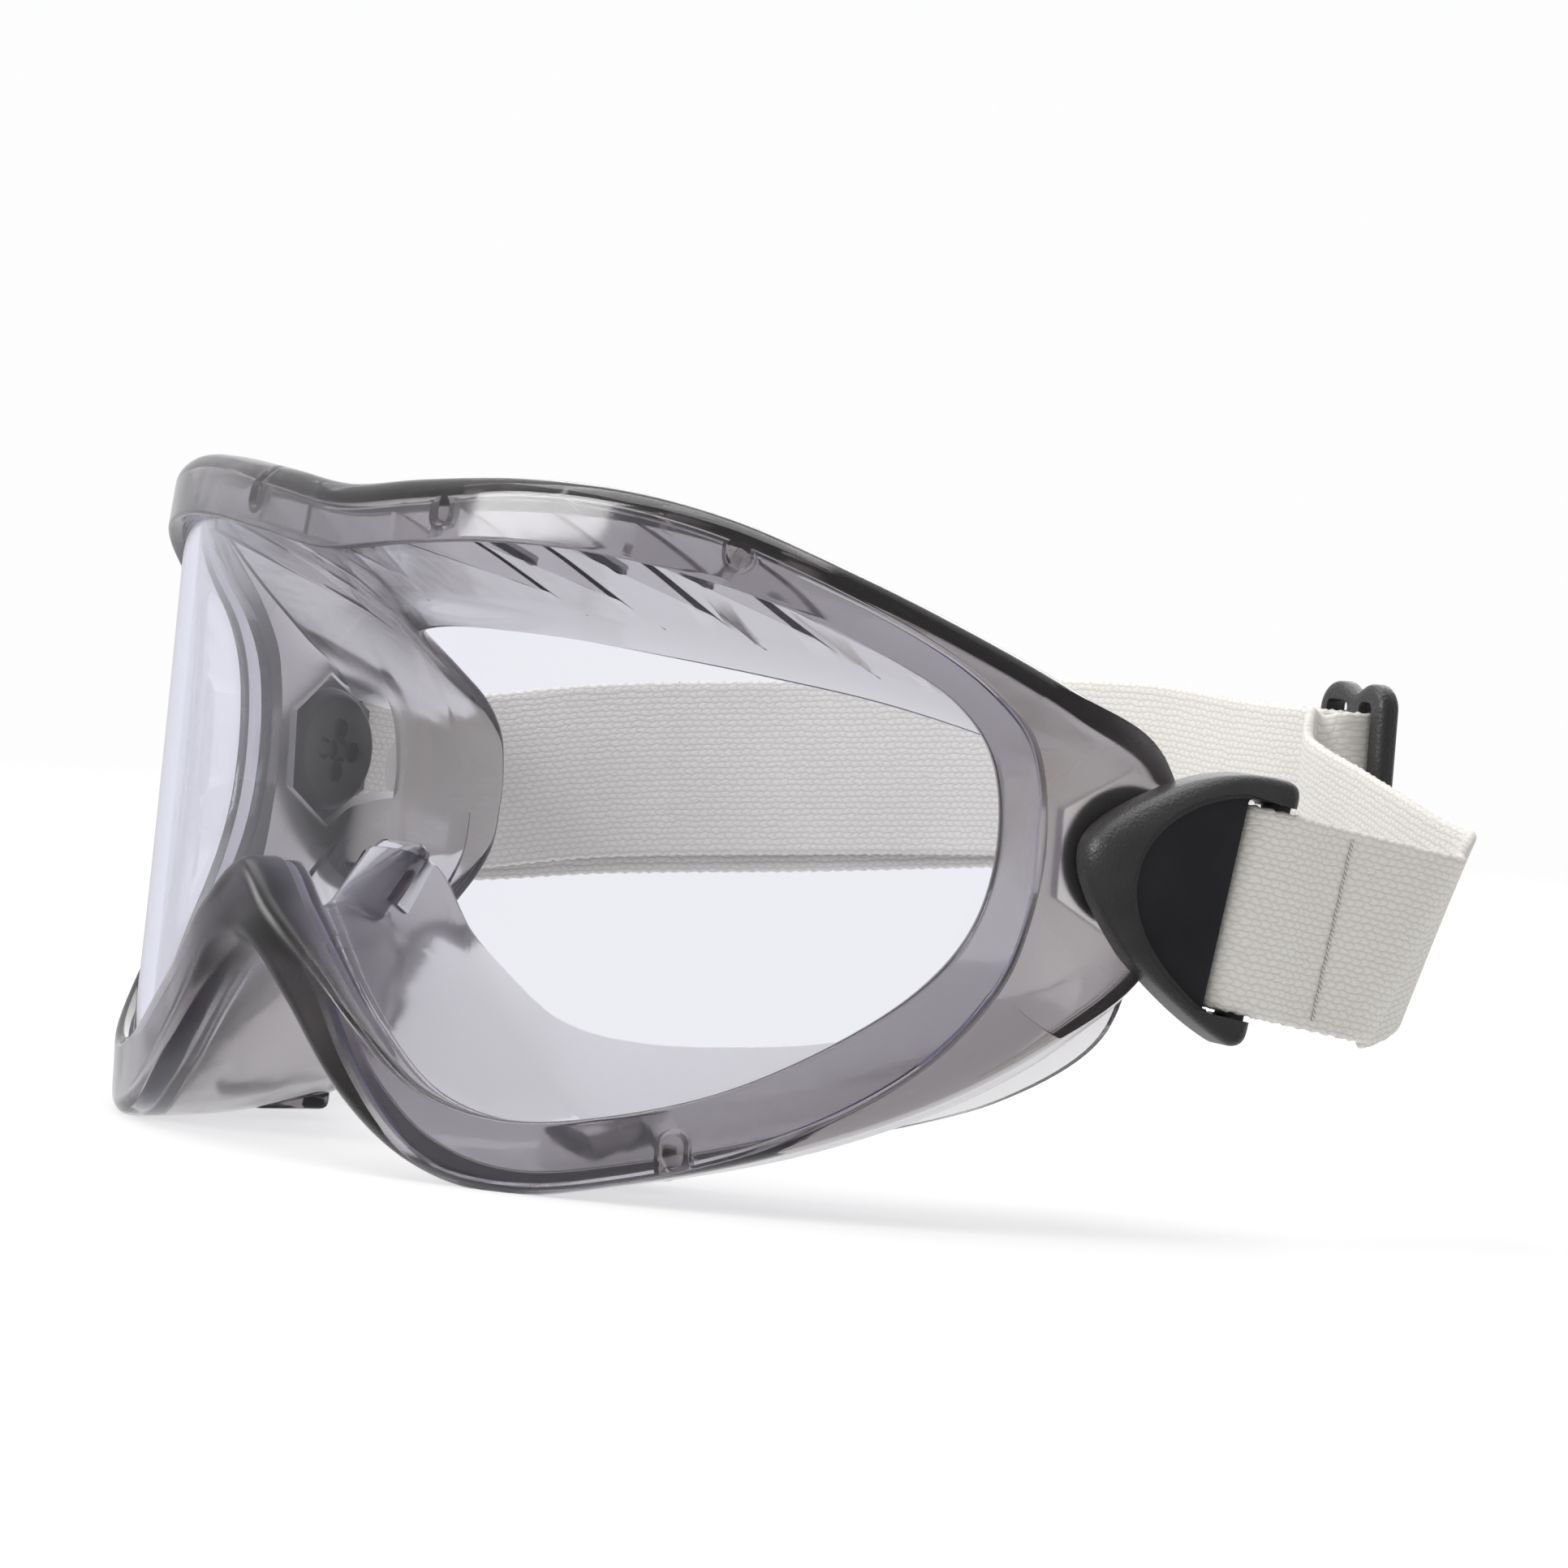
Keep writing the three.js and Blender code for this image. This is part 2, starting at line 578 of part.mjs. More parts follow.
// Strap end wrapped round the clip's bar, cut on an arc about the pivot.
function clipLoopSolid() {
  const path = hairpin({
    far: 34, join: 22.5, reach: 18.8, turn: SLOT.to - 0.3,
    bar: (BAR.outer - BAR.inner) / 2, middle: (BAR.outer + BAR.inner) / 2, gap: 0.3,
    drop: CLIP_STRAP_DROP,
  });
  return ribbon(path, level(path)).intersect(rod(SEAM_REACH, -6, 14, 96));
}

// Line of sewing thread lying on a strap face, from low to high.
function threadSolid(x, drop, z) {
  const points = Array.from({ length: 33 }, (_, i) => new THREE.Vector3(
    x + 0.25 * Math.cos(i * Math.PI),
    drop + (i / 32 - 0.5) * (STRAP_WIDTH - 2),
    z,
  ));
  const across = level(points, new THREE.Vector3(1, 0, 0));
  return ribbon(points, across, 0.5, 0.3);
}

const CLIP_SEAM_X = 26;
const CLIP_SEAM_Z = (BAR.outer + BAR.inner) / 2 + STRAP_THICKNESS + 0.35;

// ---------------------------------------------------------------- slider

function sliderAxes() {
  const x = new THREE.Vector3(Math.cos(SLIDER.yaw), Math.sin(SLIDER.yaw), 0);
  const z = new THREE.Vector3(Math.sin(SLIDER.yaw), -Math.cos(SLIDER.yaw), 0);
  return axes(SLIDER.centre, x, UPRIGHT, z);
}

function sliderSolid() {
  const h = SLIDER.height / 2;
  const [left, right] = [-SLIDER.left / 2, SLIDER.right / 2];
  const dip = h - 1.3;
  const shape = new THREE.Shape();
  shape.moveTo(2 * right, h - right);
  shape.absarc(right, h - right, right, 0, Math.PI / 2 + 0.5);
  shape.lineTo(0, dip);
  shape.absarc(-left, h - left, left, Math.PI / 2 - 0.5, Math.PI);
  shape.absarc(-left, left - h, left, Math.PI, 3 * Math.PI / 2 + 0.5);
  shape.lineTo(0, -dip);
  shape.absarc(right, right - h, right, 3 * Math.PI / 2 - 0.5, 2 * Math.PI);
  const t = SLIDER.thickness / 2;
  const open = SLIDER.window / 2;
  const middle = SLIDER.middleBar / 2;
  return minus(prism(shape, -t, t, 0.7), [
    slab(middle, SLIDER.right - SLIDER.rightBar, -open, open, -t - 1, t + 1),
    slab(SLIDER.left + SLIDER.leftBar, -middle, -open, open, -t - 1, t + 1),
  ]);
}

const SLIDER_GAP = 0.35;
const SLIDER_LOOP_END = -23;
const SLIDER_HALF = SLIDER.thickness / 2;
const LAYER = STRAP_THICKNESS + 0.3;             // pitch of two strap layers

// Sewn strap end round the slider's outer bar.
function sliderLoopSolid() {
  const path = hairpin({
    far: SLIDER_LOOP_END, join: -14, reach: -9.2, turn: -6.85,
    bar: SLIDER_HALF, middle: 0, gap: SLIDER_GAP,
  });
  return ribbon(path, level(path));
}

// Running strap: over the sewn end, behind the middle bar, out of the far window.
function sliderWeaveSolid() {
  const rest = SLIDER_HALF + SLIDER_GAP + STRAP_THICKNESS / 2;
  const control = [
    [-11.5, rest + LAYER], [-7.6, rest + LAYER], [-5, rest + 1.5], [-3.1, 2.2], [-2.45, 0.8],
    [-2.42, -1.5], [-2.1, -2.25], [-1.4, -rest], [1.4, -rest], [2.1, -2.25], [2.42, -1.5],
    [2.5, 0.5], [2.7, rest + 0.4],
  ];
  const path = smooth(control.map(([x, z]) => new THREE.Vector3(x, STRAP_DROP, z)), 36);
  return ribbon(path, level(path));
}

// ---------------------------------------------------------------- strap runs on the frame

// World point in a set of axes.
const inAxes = (matrix, x, y, z) => new THREE.Vector3(x, y, z).applyMatrix4(matrix);

// Band through control points, leaning as given, and shifted off its path by depth(t)
// along its own normal and by rise(t) along its width.
function run(points, leans, count, depth = () => 0, rise = () => 0) {
  const path = smooth(points, count);
  const ups = smooth(leans, count).map((v) => v.normalize());
  const normals = bandNormals(path, ups);
  const shifted = path.map((p, i) => p.clone()
    .addScaledVector(normals[i], depth(i / count))
    .addScaledVector(ups[i], rise(i / count)));
  return ribbon(shifted, ups);
}

const vec = (x, y, z) => new THREE.Vector3(x, y, z);

// The strap bends back towards the slider on a cylinder whose axis leans from upright.
const FOLD = { from: 34.2, radius: 6, turn: 80, lean: 17.6 };

// Points along the fold, and the direction of its axis.
function foldBend(layer) {
  const lean = THREE.MathUtils.degToRad(FOLD.lean);
  const [x, y, z] = [vec(0, 0, 0), vec(0, 0, 0), vec(0, 0, 0)];
  CLIP_AXES.extractBasis(x, y, z);
  const axis = x.clone().multiplyScalar(Math.sin(lean)).addScaledVector(y, Math.cos(lean));
  const out = x.clone().multiplyScalar(Math.cos(lean)).addScaledVector(y, -Math.sin(lean));
  const start = inAxes(CLIP_AXES, FOLD.from, CLIP_STRAP_DROP, layer);
  const points = [0, 0.25, 0.5, 0.75, 1].map((t) => {
    const angle = THREE.MathUtils.degToRad(FOLD.turn) * t;
    return start.clone()
      .addScaledVector(axis, FOLD.radius * angle * Math.tan(lean))
      .addScaledVector(out, FOLD.radius * Math.sin(angle))
      .addScaledVector(z, -FOLD.radius * (1 - Math.cos(angle)));
  });
  return { points, axis };
}

// From the left clip back, round the fold and in to the slider's front.
function leftRunSolid() {
  const slider = sliderAxes();
  const layer = (BAR.outer + BAR.inner) / 2 + LAYER / 2;
  const leave = [26, 29.5].map((x) => inAxes(CLIP_AXES, x, CLIP_STRAP_DROP, layer));
  const clipUp = Y_AXIS.clone().transformDirection(CLIP_AXES);
  const fold = foldBend(layer);
  const points = [
    ...leave, ...fold.points, vec(82, 113.7, -4.6), vec(62, 123.6, -1.2), vec(49.5, 129, 1.2),
    vec(43.4, 132.3, 2.6), inAxes(slider, 0.9, -2, 8.2), inAxes(slider, 2.6, -1, 6.2),
  ];
  const leans = [
    clipUp, clipUp, ...level(fold.points, fold.axis),
    vec(0.02, 0.24, 0.97), vec(0, 0.1, 0.99), UPRIGHT, UPRIGHT, UPRIGHT, UPRIGHT,
  ];
  const swing = place(rod(SEAM_REACH + SWING_GAP, -8, 16, 96), CLIP_AXES);
  return run(points, leans, 70).subtract(swing);
}

const REAR_STRAIGHT = -44;       // the rear run is straight from here to the slider

// One layer of the rear run, from the slider's slide range to the right clip. Depth is
// measured towards the head, at the slider and at the clip.
function rearRunSolid({ end, sliderDepth, clipDepth, rise }) {
  const slider = sliderAxes();
  const right = clipAxes(RIGHT_DIP);
  const middle = (BAR.outer + BAR.inner) / 2;
  const clipPoint = (x) => inAxes(right, x, CLIP_STRAP_DROP, middle).multiply(vec(-1, 1, 1));
  const points = [
    inAxes(slider, end, STRAP_DROP, 0), inAxes(slider, REAR_STRAIGHT, 0, 0),
    vec(-31, 146.2, 4.4), vec(-60, 133, 1.2), vec(-84, 113, -1.8),
    vec(-96.5, 98.5, -4.6), clipPoint(30), clipPoint(25),
  ];
  const clipUp = Y_AXIS.clone().transformDirection(right).multiply(vec(-1, 1, 1));
  const leans = points.map((_, i) => (i > 4 ? clipUp : UPRIGHT));
  const swing = mirrored(place(rod(SEAM_REACH + SWING_GAP, -8, 16, 96), right));
  const ease = (t) => THREE.MathUtils.smoothstep(t, 0.25, 0.6);
  const depth = (t) => -THREE.MathUtils.lerp(sliderDepth, clipDepth, ease(t));
  const height = (t) => rise * Math.sin(Math.PI * t) ** 2;
  return run(points, leans, 56, depth, height).subtract(swing);
}

// ---------------------------------------------------------------- assembly

const goggles = new THREE.Group();

function add(name, solid, material) {
  const mesh = new THREE.Mesh(toGeometry(solid), material);
  mesh.name = name;
  goggles.add(mesh);
}

function addClip(side, matrix, sewn) {
  const onSide = (solid) => (side === 'left' ? place(solid, matrix) : mirrored(place(solid, matrix)));
  add(`${side}_clip`, onSide(clipSolid()), MATERIALS.clip);
  add(`${side}_snap_button`, onSide(buttonSolid()), MATERIALS.clip);
  add(`${side}_strap_loop`, onSide(clipLoopSolid()), MATERIALS.strap);
  if (sewn) {
    const thread = threadSolid(CLIP_SEAM_X, CLIP_STRAP_DROP, CLIP_SEAM_Z);
    add(`${side}_seam_thread`, onSide(thread), MATERIALS.thread);
  }
}

add('frame', frameSolid(), MATERIALS.frame);
add('lens', lensSolid(), MATERIALS.lens);
addClip('left', CLIP_AXES, true);
addClip('right', clipAxes(RIGHT_DIP), false);

const onSlider = (solid) => place(solid, sliderAxes());
add('slider', onSlider(sliderSolid()), MATERIALS.clip);
add('slider_strap_loop', onSlider(sliderLoopSolid()), MATERIALS.strap);
add('slider_strap_weave', onSlider(sliderWeaveSolid()), MATERIALS.strap);
const sliderThread = threadSolid(SLIDER_LOOP_END + 2.5, STRAP_DROP, -1.95);
add('slider_seam_thread', onSlider(sliderThread), MATERIALS.thread);

add('left_strap_run', leftRunSolid(), MATERIALS.strap);
add('rear_strap_inner', rearRunSolid({
  end: -22.2, sliderDepth: 3.4, clipDepth: LAYER / 2, rise: 1.3,
}), MATERIALS.strap);
add('rear_strap_outer', rearRunSolid({
  end: -34, sliderDepth: 0, clipDepth: -LAYER / 2, rise: -1.3,
}), MATERIALS.strap);

// The origin is the bottom centre of the whole object's box.
function standOnOrigin(group) {
  const box = new THREE.Box3().setFromObject(group, true);
  const centre = box.getCenter(new THREE.Vector3());
  group.position.set(-centre.x, -centre.y, -box.min.z);
}

standOnOrigin(goggles);

export default goggles;
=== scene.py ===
"""Looks of the ventilated safety goggles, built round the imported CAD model.

Drawn lengths are in millimetres: +X is the wearer's left, -Y the front, +Z up, from the
front of the lens on its centre line at temple height. row() turns them into the row
frame, in metres, by the place of the left clip's hinge.
"""
import json
from math import copysign, cos, pi, radians, sin, tan, tau

import bmesh
import bpy
import numpy as np
from mathutils import Matrix, Vector
from numpy.linalg import norm


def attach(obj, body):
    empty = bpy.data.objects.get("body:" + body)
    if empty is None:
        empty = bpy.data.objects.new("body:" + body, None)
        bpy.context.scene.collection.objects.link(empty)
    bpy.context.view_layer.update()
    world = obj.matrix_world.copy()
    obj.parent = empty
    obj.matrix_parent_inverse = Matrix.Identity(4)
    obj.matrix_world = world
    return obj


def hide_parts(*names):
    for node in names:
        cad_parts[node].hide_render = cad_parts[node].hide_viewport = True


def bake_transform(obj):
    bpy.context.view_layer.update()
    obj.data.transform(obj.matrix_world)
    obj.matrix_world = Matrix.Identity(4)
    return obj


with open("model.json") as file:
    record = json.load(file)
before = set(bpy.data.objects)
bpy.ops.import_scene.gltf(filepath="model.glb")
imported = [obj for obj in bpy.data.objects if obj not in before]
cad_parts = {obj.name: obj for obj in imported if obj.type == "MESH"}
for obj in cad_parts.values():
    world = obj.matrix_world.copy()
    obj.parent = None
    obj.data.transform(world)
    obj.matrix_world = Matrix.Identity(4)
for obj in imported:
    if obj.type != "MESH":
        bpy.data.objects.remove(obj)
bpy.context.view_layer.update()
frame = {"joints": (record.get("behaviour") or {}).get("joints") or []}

# --- driving dimensions

MM = 0.001
JOINTS = {joint["name"]: joint for joint in frame["joints"]}
PIVOT = np.array((87.55, 63.8, 0.6))  # left clip's hinge, as drawn
ORIGIN = np.array(JOINTS["left_clip_swivel"]["pos_m"]) - PIVOT * MM

LENS_RADIUS = 93.2
LENS_THICK = 2.0
LENS_LEAN = 0.125
LEAN_PIVOT_Z = -9
LEAN_END_DEG = 50

LIP_PROUD = 2.3
GROOVE_GAP = 0.3
GROOVE_DEPTH_GAP = 0.6
SEAT_THICK = 1.8
SHOULDER_DROP = 0.8
WALL = 1.9
NOSE_PROUD, NOSE_WALL = 2.0, 1.0  # swelling of the lip and wall at the nose
KNOB_PROUD = 2.8  # more at the very middle of the nose
FLANGE = 1.3
SECTIONS = 336  # loft sections round the frame

# One row per station, from the brow centre round the left side to the nose centre:
# rim and lip as (degrees round the lens, height), wall bend and flange edge as points,
# and how far the lens reaches into the rim.
STATIONS = [
    ((0, 38.2), (0, 29.8), (0, 31, 25.5), (0, 33.5, 21.5), 0.6),
    ((9, 39.5), (9, 31.3), (13, 32.2, 25.3), (12.5, 34.8, 21.3), 0.6),
    ((19, 40.5), (18, 32.4), (26, 36.2, 24.4), (25, 39, 20.3), 0.66),
    ((29, 40.2), (27, 32.2), (38, 43.2, 22.9), (36.5, 46.5, 18.9), 0.66),
    ((39, 37.5), (36, 30.4), (49.5, 53, 20.6), (47.5, 56.8, 16.8), 0.62),
    ((49, 32.1), (44.5, 27), (59.5, 63.6, 16.8), (56.8, 67.7, 13.4), 0.56),
    ((58, 26.1), (51.5, 22.4), (66.5, 72.5, 11.8), (63.2, 76.7, 9.6), 0.5),
    ((66, 20), (56.6, 17.6), (70.2, 77.6, 6.5), (66.5, 81.8, 5.4), 0.36),
    ((73, 13.6), (59.6, 11), (71.5, 79.4, 1.2), (67.6, 83.5, 0.8), 0.25),
    ((75.8, 0), (60.4, 1.5), (71.5, 79.6, -5.5), (67.6, 83.5, -5), 0.22),
    ((73, -13.2), (59.2, -8.2), (70.8, 78.4, -13.5), (66.6, 81.6, -12), 0.26),
    ((66, -22.6), (55.8, -16.2), (67.8, 72.8, -22.4), (62, 73.5, -18), 0.42),
    ((57, -31.1), (50, -23.6), (62, 63.4, -30.2), (55.5, 62.5, -23), 0.62),
    ((46, -38.3), (42, -30.8), (53.5, 52, -36.6), (47.5, 51, -26.5), 0.78),
    ((35, -43.4), (33.5, -35.2), (44.5, 43, -40.2), (39, 42.8, -28), 0.84),
    ((26, -46.1), (26, -36.8), (35.5, 36.5, -42), (30.5, 37, -28.6), 0.82),
    ((18.5, -43.6), (19, -34.2), (26.5, 31.5, -40), (22, 32.8, -27.8), 0.82),
    ((11.5, -36.6), (13, -27), (19.2, 27.8, -33), (15, 29.6, -24.6), 0.6),
    ((6, -27.3), (8.4, -20.2), (13.4, 22.4, -24.4), (11, 22.9, -16.8), 0.4),
    ((2.6, -21.8), (4.4, -14.3), (7.8, 15.6, -17.8), (7.4, 19.6, -9.2), 0.4),
    ((0, -20.6), (0, -8.8), (0, 12.2, -15.9), (0, 18.2, -7.9), 0.4),
]

NOSE_STATION = len(STATIONS) - 1
RING_STATIONS = 2 * NOSE_STATION  # stations round the whole ring
NOSE_SPAN, KNOB_SPAN = (4.2, 1.2), (2.6, 0.5)  # stations from the nose: none, and full

NOTCHES = [(12.2, 35.2), (39.5, 33.2), (38.6, -38.0)]
PEG_RADIUS = 1.5
NOTCH_RADIUS = 2.1
PEG_REACH, NOTCH_REACH = 2.4, 6.5
FOOT_Z = -45.6

FACET_YAW = radians(14.5)
CLIP_DIP = radians(9.2)
RIGHT_DIP = radians(4.7)
CLIP_GAP = 0.4
CLIP_TOP = 6.8
CLIP_REAR = 17.0
CLIP_HIGH, CLIP_LOW = 13.3, -19.5  # outline's top and bottom, from the stud
CLIP_NOSE = 8.4
PANEL_DEPTH = 1.5
SLOT_FROM, SLOT_TO = 10.6, 14.2
SLOT_LOW, SLOT_HIGH = -16.2, 10.2
BAR_INNER, BAR_OUTER = 1.9, 4.3
BAR_MIDDLE = (BAR_INNER + BAR_OUTER) / 2
STUD_RADIUS = 3.4
BORE_RADIUS = 3.8
PAD_RADIUS = 9.6
FACET_WALL = 2.4
BUTTON_RADIUS, BUTTON_THICK, BUTTON_GAP = 8.7, 2.6, 0.3

STRAP_WIDTH = 25
STRAP_THICK = 1.5
STRAP_DROP = -0.5  # strap centre below the slider's centre
CLIP_STRAP_DROP = -3.0  # strap centre below a clip's stud
SEAM_REACH = 28.2
LAYER = 1.8
FOLD_FROM, FOLD_RADIUS = 34.2, 6.0  # slanted bend behind the left clip
FOLD_TURN, FOLD_LEAN = radians(80), radians(17.6)

SLIDER_CENTRE = np.array((42, 143, 6.2))
SLIDER_YAW = radians(-8)
SLIDER_LEFT, SLIDER_RIGHT = -8.0, 6.9
SLIDER_HEIGHT, SLIDER_THICK = 32, 3
SLIDER_LEFT_BAR, SLIDER_BAR, SLIDER_WINDOW = 2, 2.7, 27
SLIDER_GAP = 0.35
SLIDER_LOOP_END = -23
SLIDER_REST = SLIDER_THICK / 2 + SLIDER_GAP + STRAP_THICK / 2  # strap on its face

UP = np.array((0.0, 0.0, 1.0))


# --- vectors and curves

def row(points):
    """Drawn millimetres as row-frame metres."""
    return np.asarray(points, float) * MM + ORIGIN


def unit(v):
    """Unit vectors of an array of vectors."""
    return v / norm(v, axis=-1, keepdims=True)


def hermite(f, p1, m1, p2, m2):
    """Cubic from p1 to p2 with end slopes m1 and m2, at fractions f."""
    return ((2 * f**3 - 3 * f**2 + 1) * p1 + (f**3 - 2 * f**2 + f) * m1
            + (3 * f**2 - 2 * f**3) * p2 + (f**3 - f**2) * m2)


def closed_curve(points, count):
    """Smooth closed curve through points, as count samples."""
    points = np.asarray(points, float)
    n = len(points)
    t = np.arange(count) / count * n
    k = t.astype(int)
    f = (t - k)[:, None]
    p0, p1, p2, p3 = (points[(k + d) % n] for d in (-1, 0, 1, 2))
    return hermite(f, p1, (p2 - p0) / 2, p2, (p3 - p1) / 2)


def open_curve(points, count):
    """Centripetal curve through points, as count + 1 samples."""
    points = np.asarray(points, float)
    ends = (2 * points[0] - points[1], 2 * points[-1] - points[-2])
    p = np.vstack((ends[0], points, ends[1]))
    steps = np.maximum(norm(np.diff(p, axis=0), axis=1) ** 0.5, 1e-4)
    t = np.linspace(0, len(points) - 1, count + 1)
    k = np.minimum(t.astype(int), len(points) - 2)
    f = (t - k)[:, None]
    p0, p1, p2, p3 = (p[k + d] for d in range(4))
    d0, d1, d2 = (steps[k + d][:, None] for d in range(3))
    m1 = ((p1 - p0) / d0 - (p2 - p0) / (d0 + d1) + (p2 - p1) / d1) * d1
    m2 = ((p2 - p1) / d1 - (p3 - p1) / (d1 + d2) + (p3 - p2) / d2) * d1
    return hermite(f, p1, m1, p2, m2)


def path2d(start, pieces, steps=10):
    """Plane outline from a start point and a list of straight or Bezier pieces."""
    out = [np.array(start, float)]
    for piece in pieces:
        control = [out[-1]] + [np.array(p, float) for p in piece]
        count = 1 if len(piece) == 1 else steps
        for t in np.linspace(0, 1, count + 1)[1:]:
            level = control
            while len(level) > 1:
                level = [a + (b - a) * t for a, b in zip(level, level[1:])]
            out.append(level[0])
    return np.array(out)


def arc2d(centre, radius, start, end, steps):
    """Points of an arc from one angle to another, in degrees."""
    a = np.radians(np.linspace(start, end, steps + 1))
    return np.stack((centre[0] + radius * np.cos(a), centre[1] + radius * np.sin(a)), 1)


def lengths(path):
    """Distance along a path, at each of its points."""
    return np.concatenate(([0], np.cumsum(norm(np.diff(path, axis=0), axis=1))))


def interpolate(at, length, values):
    """Rows of values at given distances along a path."""
    return np.stack([np.interp(at, length, column) for column in values.T], 1)


def even_outline(outline, count):
    """Closed plane outline with count points at even spacing."""
    loop = np.vstack((outline, outline[:1]))
    length = lengths(loop)
    return interpolate(np.arange(count) / count * length[-1], length, loop)


def inset(outline, distance):
    """Closed anticlockwise outline moved inwards by a distance, or one per point."""
    ahead = np.roll(outline, -1, 0) - np.roll(outline, 1, 0)
    inward = unit(np.stack((-ahead[:, 1], ahead[:, 0]), 1))
    return outline + inward * np.reshape(distance, (-1, 1))


def smoothstep(x, low, high):
    """Smooth 0 to 1 as x goes from low to high."""
    t = np.clip((x - low) / (high - low), 0, 1)
    return t * t * (3 - 2 * t)


# --- mesh building

def new_object(name, points, faces, drawn=True):
    """Mesh object from points, in drawn millimetres unless told otherwise."""
    mesh = bpy.data.meshes.new(name)
    points = row(points) if drawn else np.asarray(points)
    mesh.from_pydata([tuple(p) for p in points], [], faces)
    mesh.validate()
    obj = bpy.data.objects.new(name, mesh)
    bpy.context.scene.collection.objects.link(obj)
    return obj


def face_outwards(obj):
    """Makes a closed mesh's faces point out."""
    bm = bmesh.new()
    bm.from_mesh(obj.data)
    if bm.calc_volume(signed=True) < 0:
        bmesh.ops.reverse_faces(bm, faces=bm.faces)
    bm.to_mesh(obj.data)
    bm.free()
    return obj


def ring_faces(rings, count, closed=False):
    """Quads from each ring of count points to the next, and to the first if closed."""
    faces = []
    for i in range(rings if closed else rings - 1):
        a, b = i * count, (i + 1) % rings * count
        for j in range(count):
            k = (j + 1) % count
            faces.append((a + j, a + k, b + k, b + j))
    return faces


def loft(name, rings, closed=False):
    """Closed surface over rings[i][j], wrapping in j, and in i if closed."""
    rings = np.asarray(rings, float)
    count = rings.shape[1]
    faces = ring_faces(len(rings), count, closed)
    if not closed:
        last = (len(rings) - 1) * count
        faces += [tuple(range(count))[::-1], tuple(range(last, last + count))]
    return face_outwards(new_object(name, rings.reshape(-1, 3), faces))


def in_axes(matrix, points):
    """Points of a local set of axes, as drawn points."""
    points = np.asarray(points, float)
    return points @ matrix[:3, :3].T + matrix[:3, 3]


def axes(origin, x, y, z):
    """4 x 4 matrix of a set of axes."""
    matrix = np.identity(4)
    matrix[:3, :3] = np.stack((x, y, z), 1)
    matrix[:3, 3] = origin
    return matrix


def plate(name, matrix, outline, levels):
    """Solid of stacked outlines: levels is a list of (height, inset)."""
    rings = []
    for height, distance in levels:
        flat = inset(outline, distance)
        rings.append(in_axes(matrix, np.column_stack((flat, np.broadcast_to(height, len(flat))))))
    return loft(name, rings)


def disc_outline(radius, count=64):
    """Circle as an anticlockwise outline."""
    return arc2d((0, 0), radius, 0, 360, count)[:-1]


def box_outline(x0, x1, y0, y1, radius, steps=4):
    """Rectangle with rounded corners, anticlockwise."""
    corners = [(x1, y0, -90), (x1, y1, 0), (x0, y1, 90), (x0, y0, 180)]
    signs = [(-1, 1), (-1, -1), (1, -1), (1, 1)]
    return np.vstack([
        arc2d((x + sx * radius, y + sy * radius), radius, start, start + 90, steps)
        for (x, y, start), (sx, sy) in zip(corners, signs)
    ])


def prism(name, matrix, outline, low, high, edge=0.0):
    """Straight prism in a set of axes, with its rims broken by edge."""
    if edge == 0:
        return plate(name, matrix, outline, [(low, 0), (high, 0)])
    return plate(name, matrix, outline, [
        (low, edge), (low + edge * 0.3, edge * 0.3), (low + edge, 0),
        (high - edge, 0), (high - edge * 0.3, edge * 0.3), (high, edge),
    ])


def apply_modifiers(obj):
    """Bakes an object's modifiers into its mesh."""
    graph = bpy.context.evaluated_depsgraph_get()
    mesh = bpy.data.meshes.new_from_object(obj.evaluated_get(graph), depsgraph=graph)
    obj.modifiers.clear()
    obj.data = mesh
    return obj


def combine(obj, operation, others):
    """Joins or cuts a solid with others, which are used up."""
    for other in others:
        modifier = obj.modifiers.new(operation, "BOOLEAN")
        modifier.operation = operation
        modifier.solver = "MANIFOLD"
        modifier.object = other
        apply_modifiers(obj)
        bpy.data.objects.remove(other)
    return obj


def cut_shapes(obj, matrix, shapes):
    """Cuts prisms, given as (outline, low, high), out of a solid."""
    return combine(obj, "DIFFERENCE", [prism("cutter", matrix, *shape) for shape in shapes])


def shade(obj, sharp_degrees):
    """Smooth faces, sharp where they turn more than the angle."""
    obj.data.shade_smooth()
    obj.data.set_sharp_from_angle(angle=radians(sharp_degrees))
    return obj


def soften(obj, width, segments, degrees=38):
    """Rounds a solid's sharp edges."""
    modifier = obj.modifiers.new("edges", "BEVEL")
    modifier.width = width * MM
    modifier.segments = segments
    modifier.limit_method = "ANGLE"
    modifier.angle_limit = radians(degrees)
    return apply_modifiers(obj)


def mirror_copy(obj, name):
    """The same solid on the other side of the centre plane."""
    points = np.array([v.co for v in obj.data.vertices])
    points[:, 0] = 2 * ORIGIN[0] - points[:, 0]
    faces = [tuple(p.vertices)[::-1] for p in obj.data.polygons]
    return new_object(name, points, faces, drawn=False)


def finish_piece(obj, materials, body, slot, *nodes):
    """Gives a piece its materials, its body and the CAD nodes that it stands for."""
    obj.data.materials.clear()
    for material in materials:
        obj.data.materials.append(MATERIALS[material])
    if body is not None:
        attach(obj, body)
    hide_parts(*nodes)
    return obj


def black_piece(obj, edge, segments, materials, body, node):
    """Finishes a black plastic piece, with its edges rounded."""
    soften(obj, edge, segments)
    shade(face_outwards(obj), 40)
    finish_piece(obj, materials, body, "black_plastic", node)


# --- materials

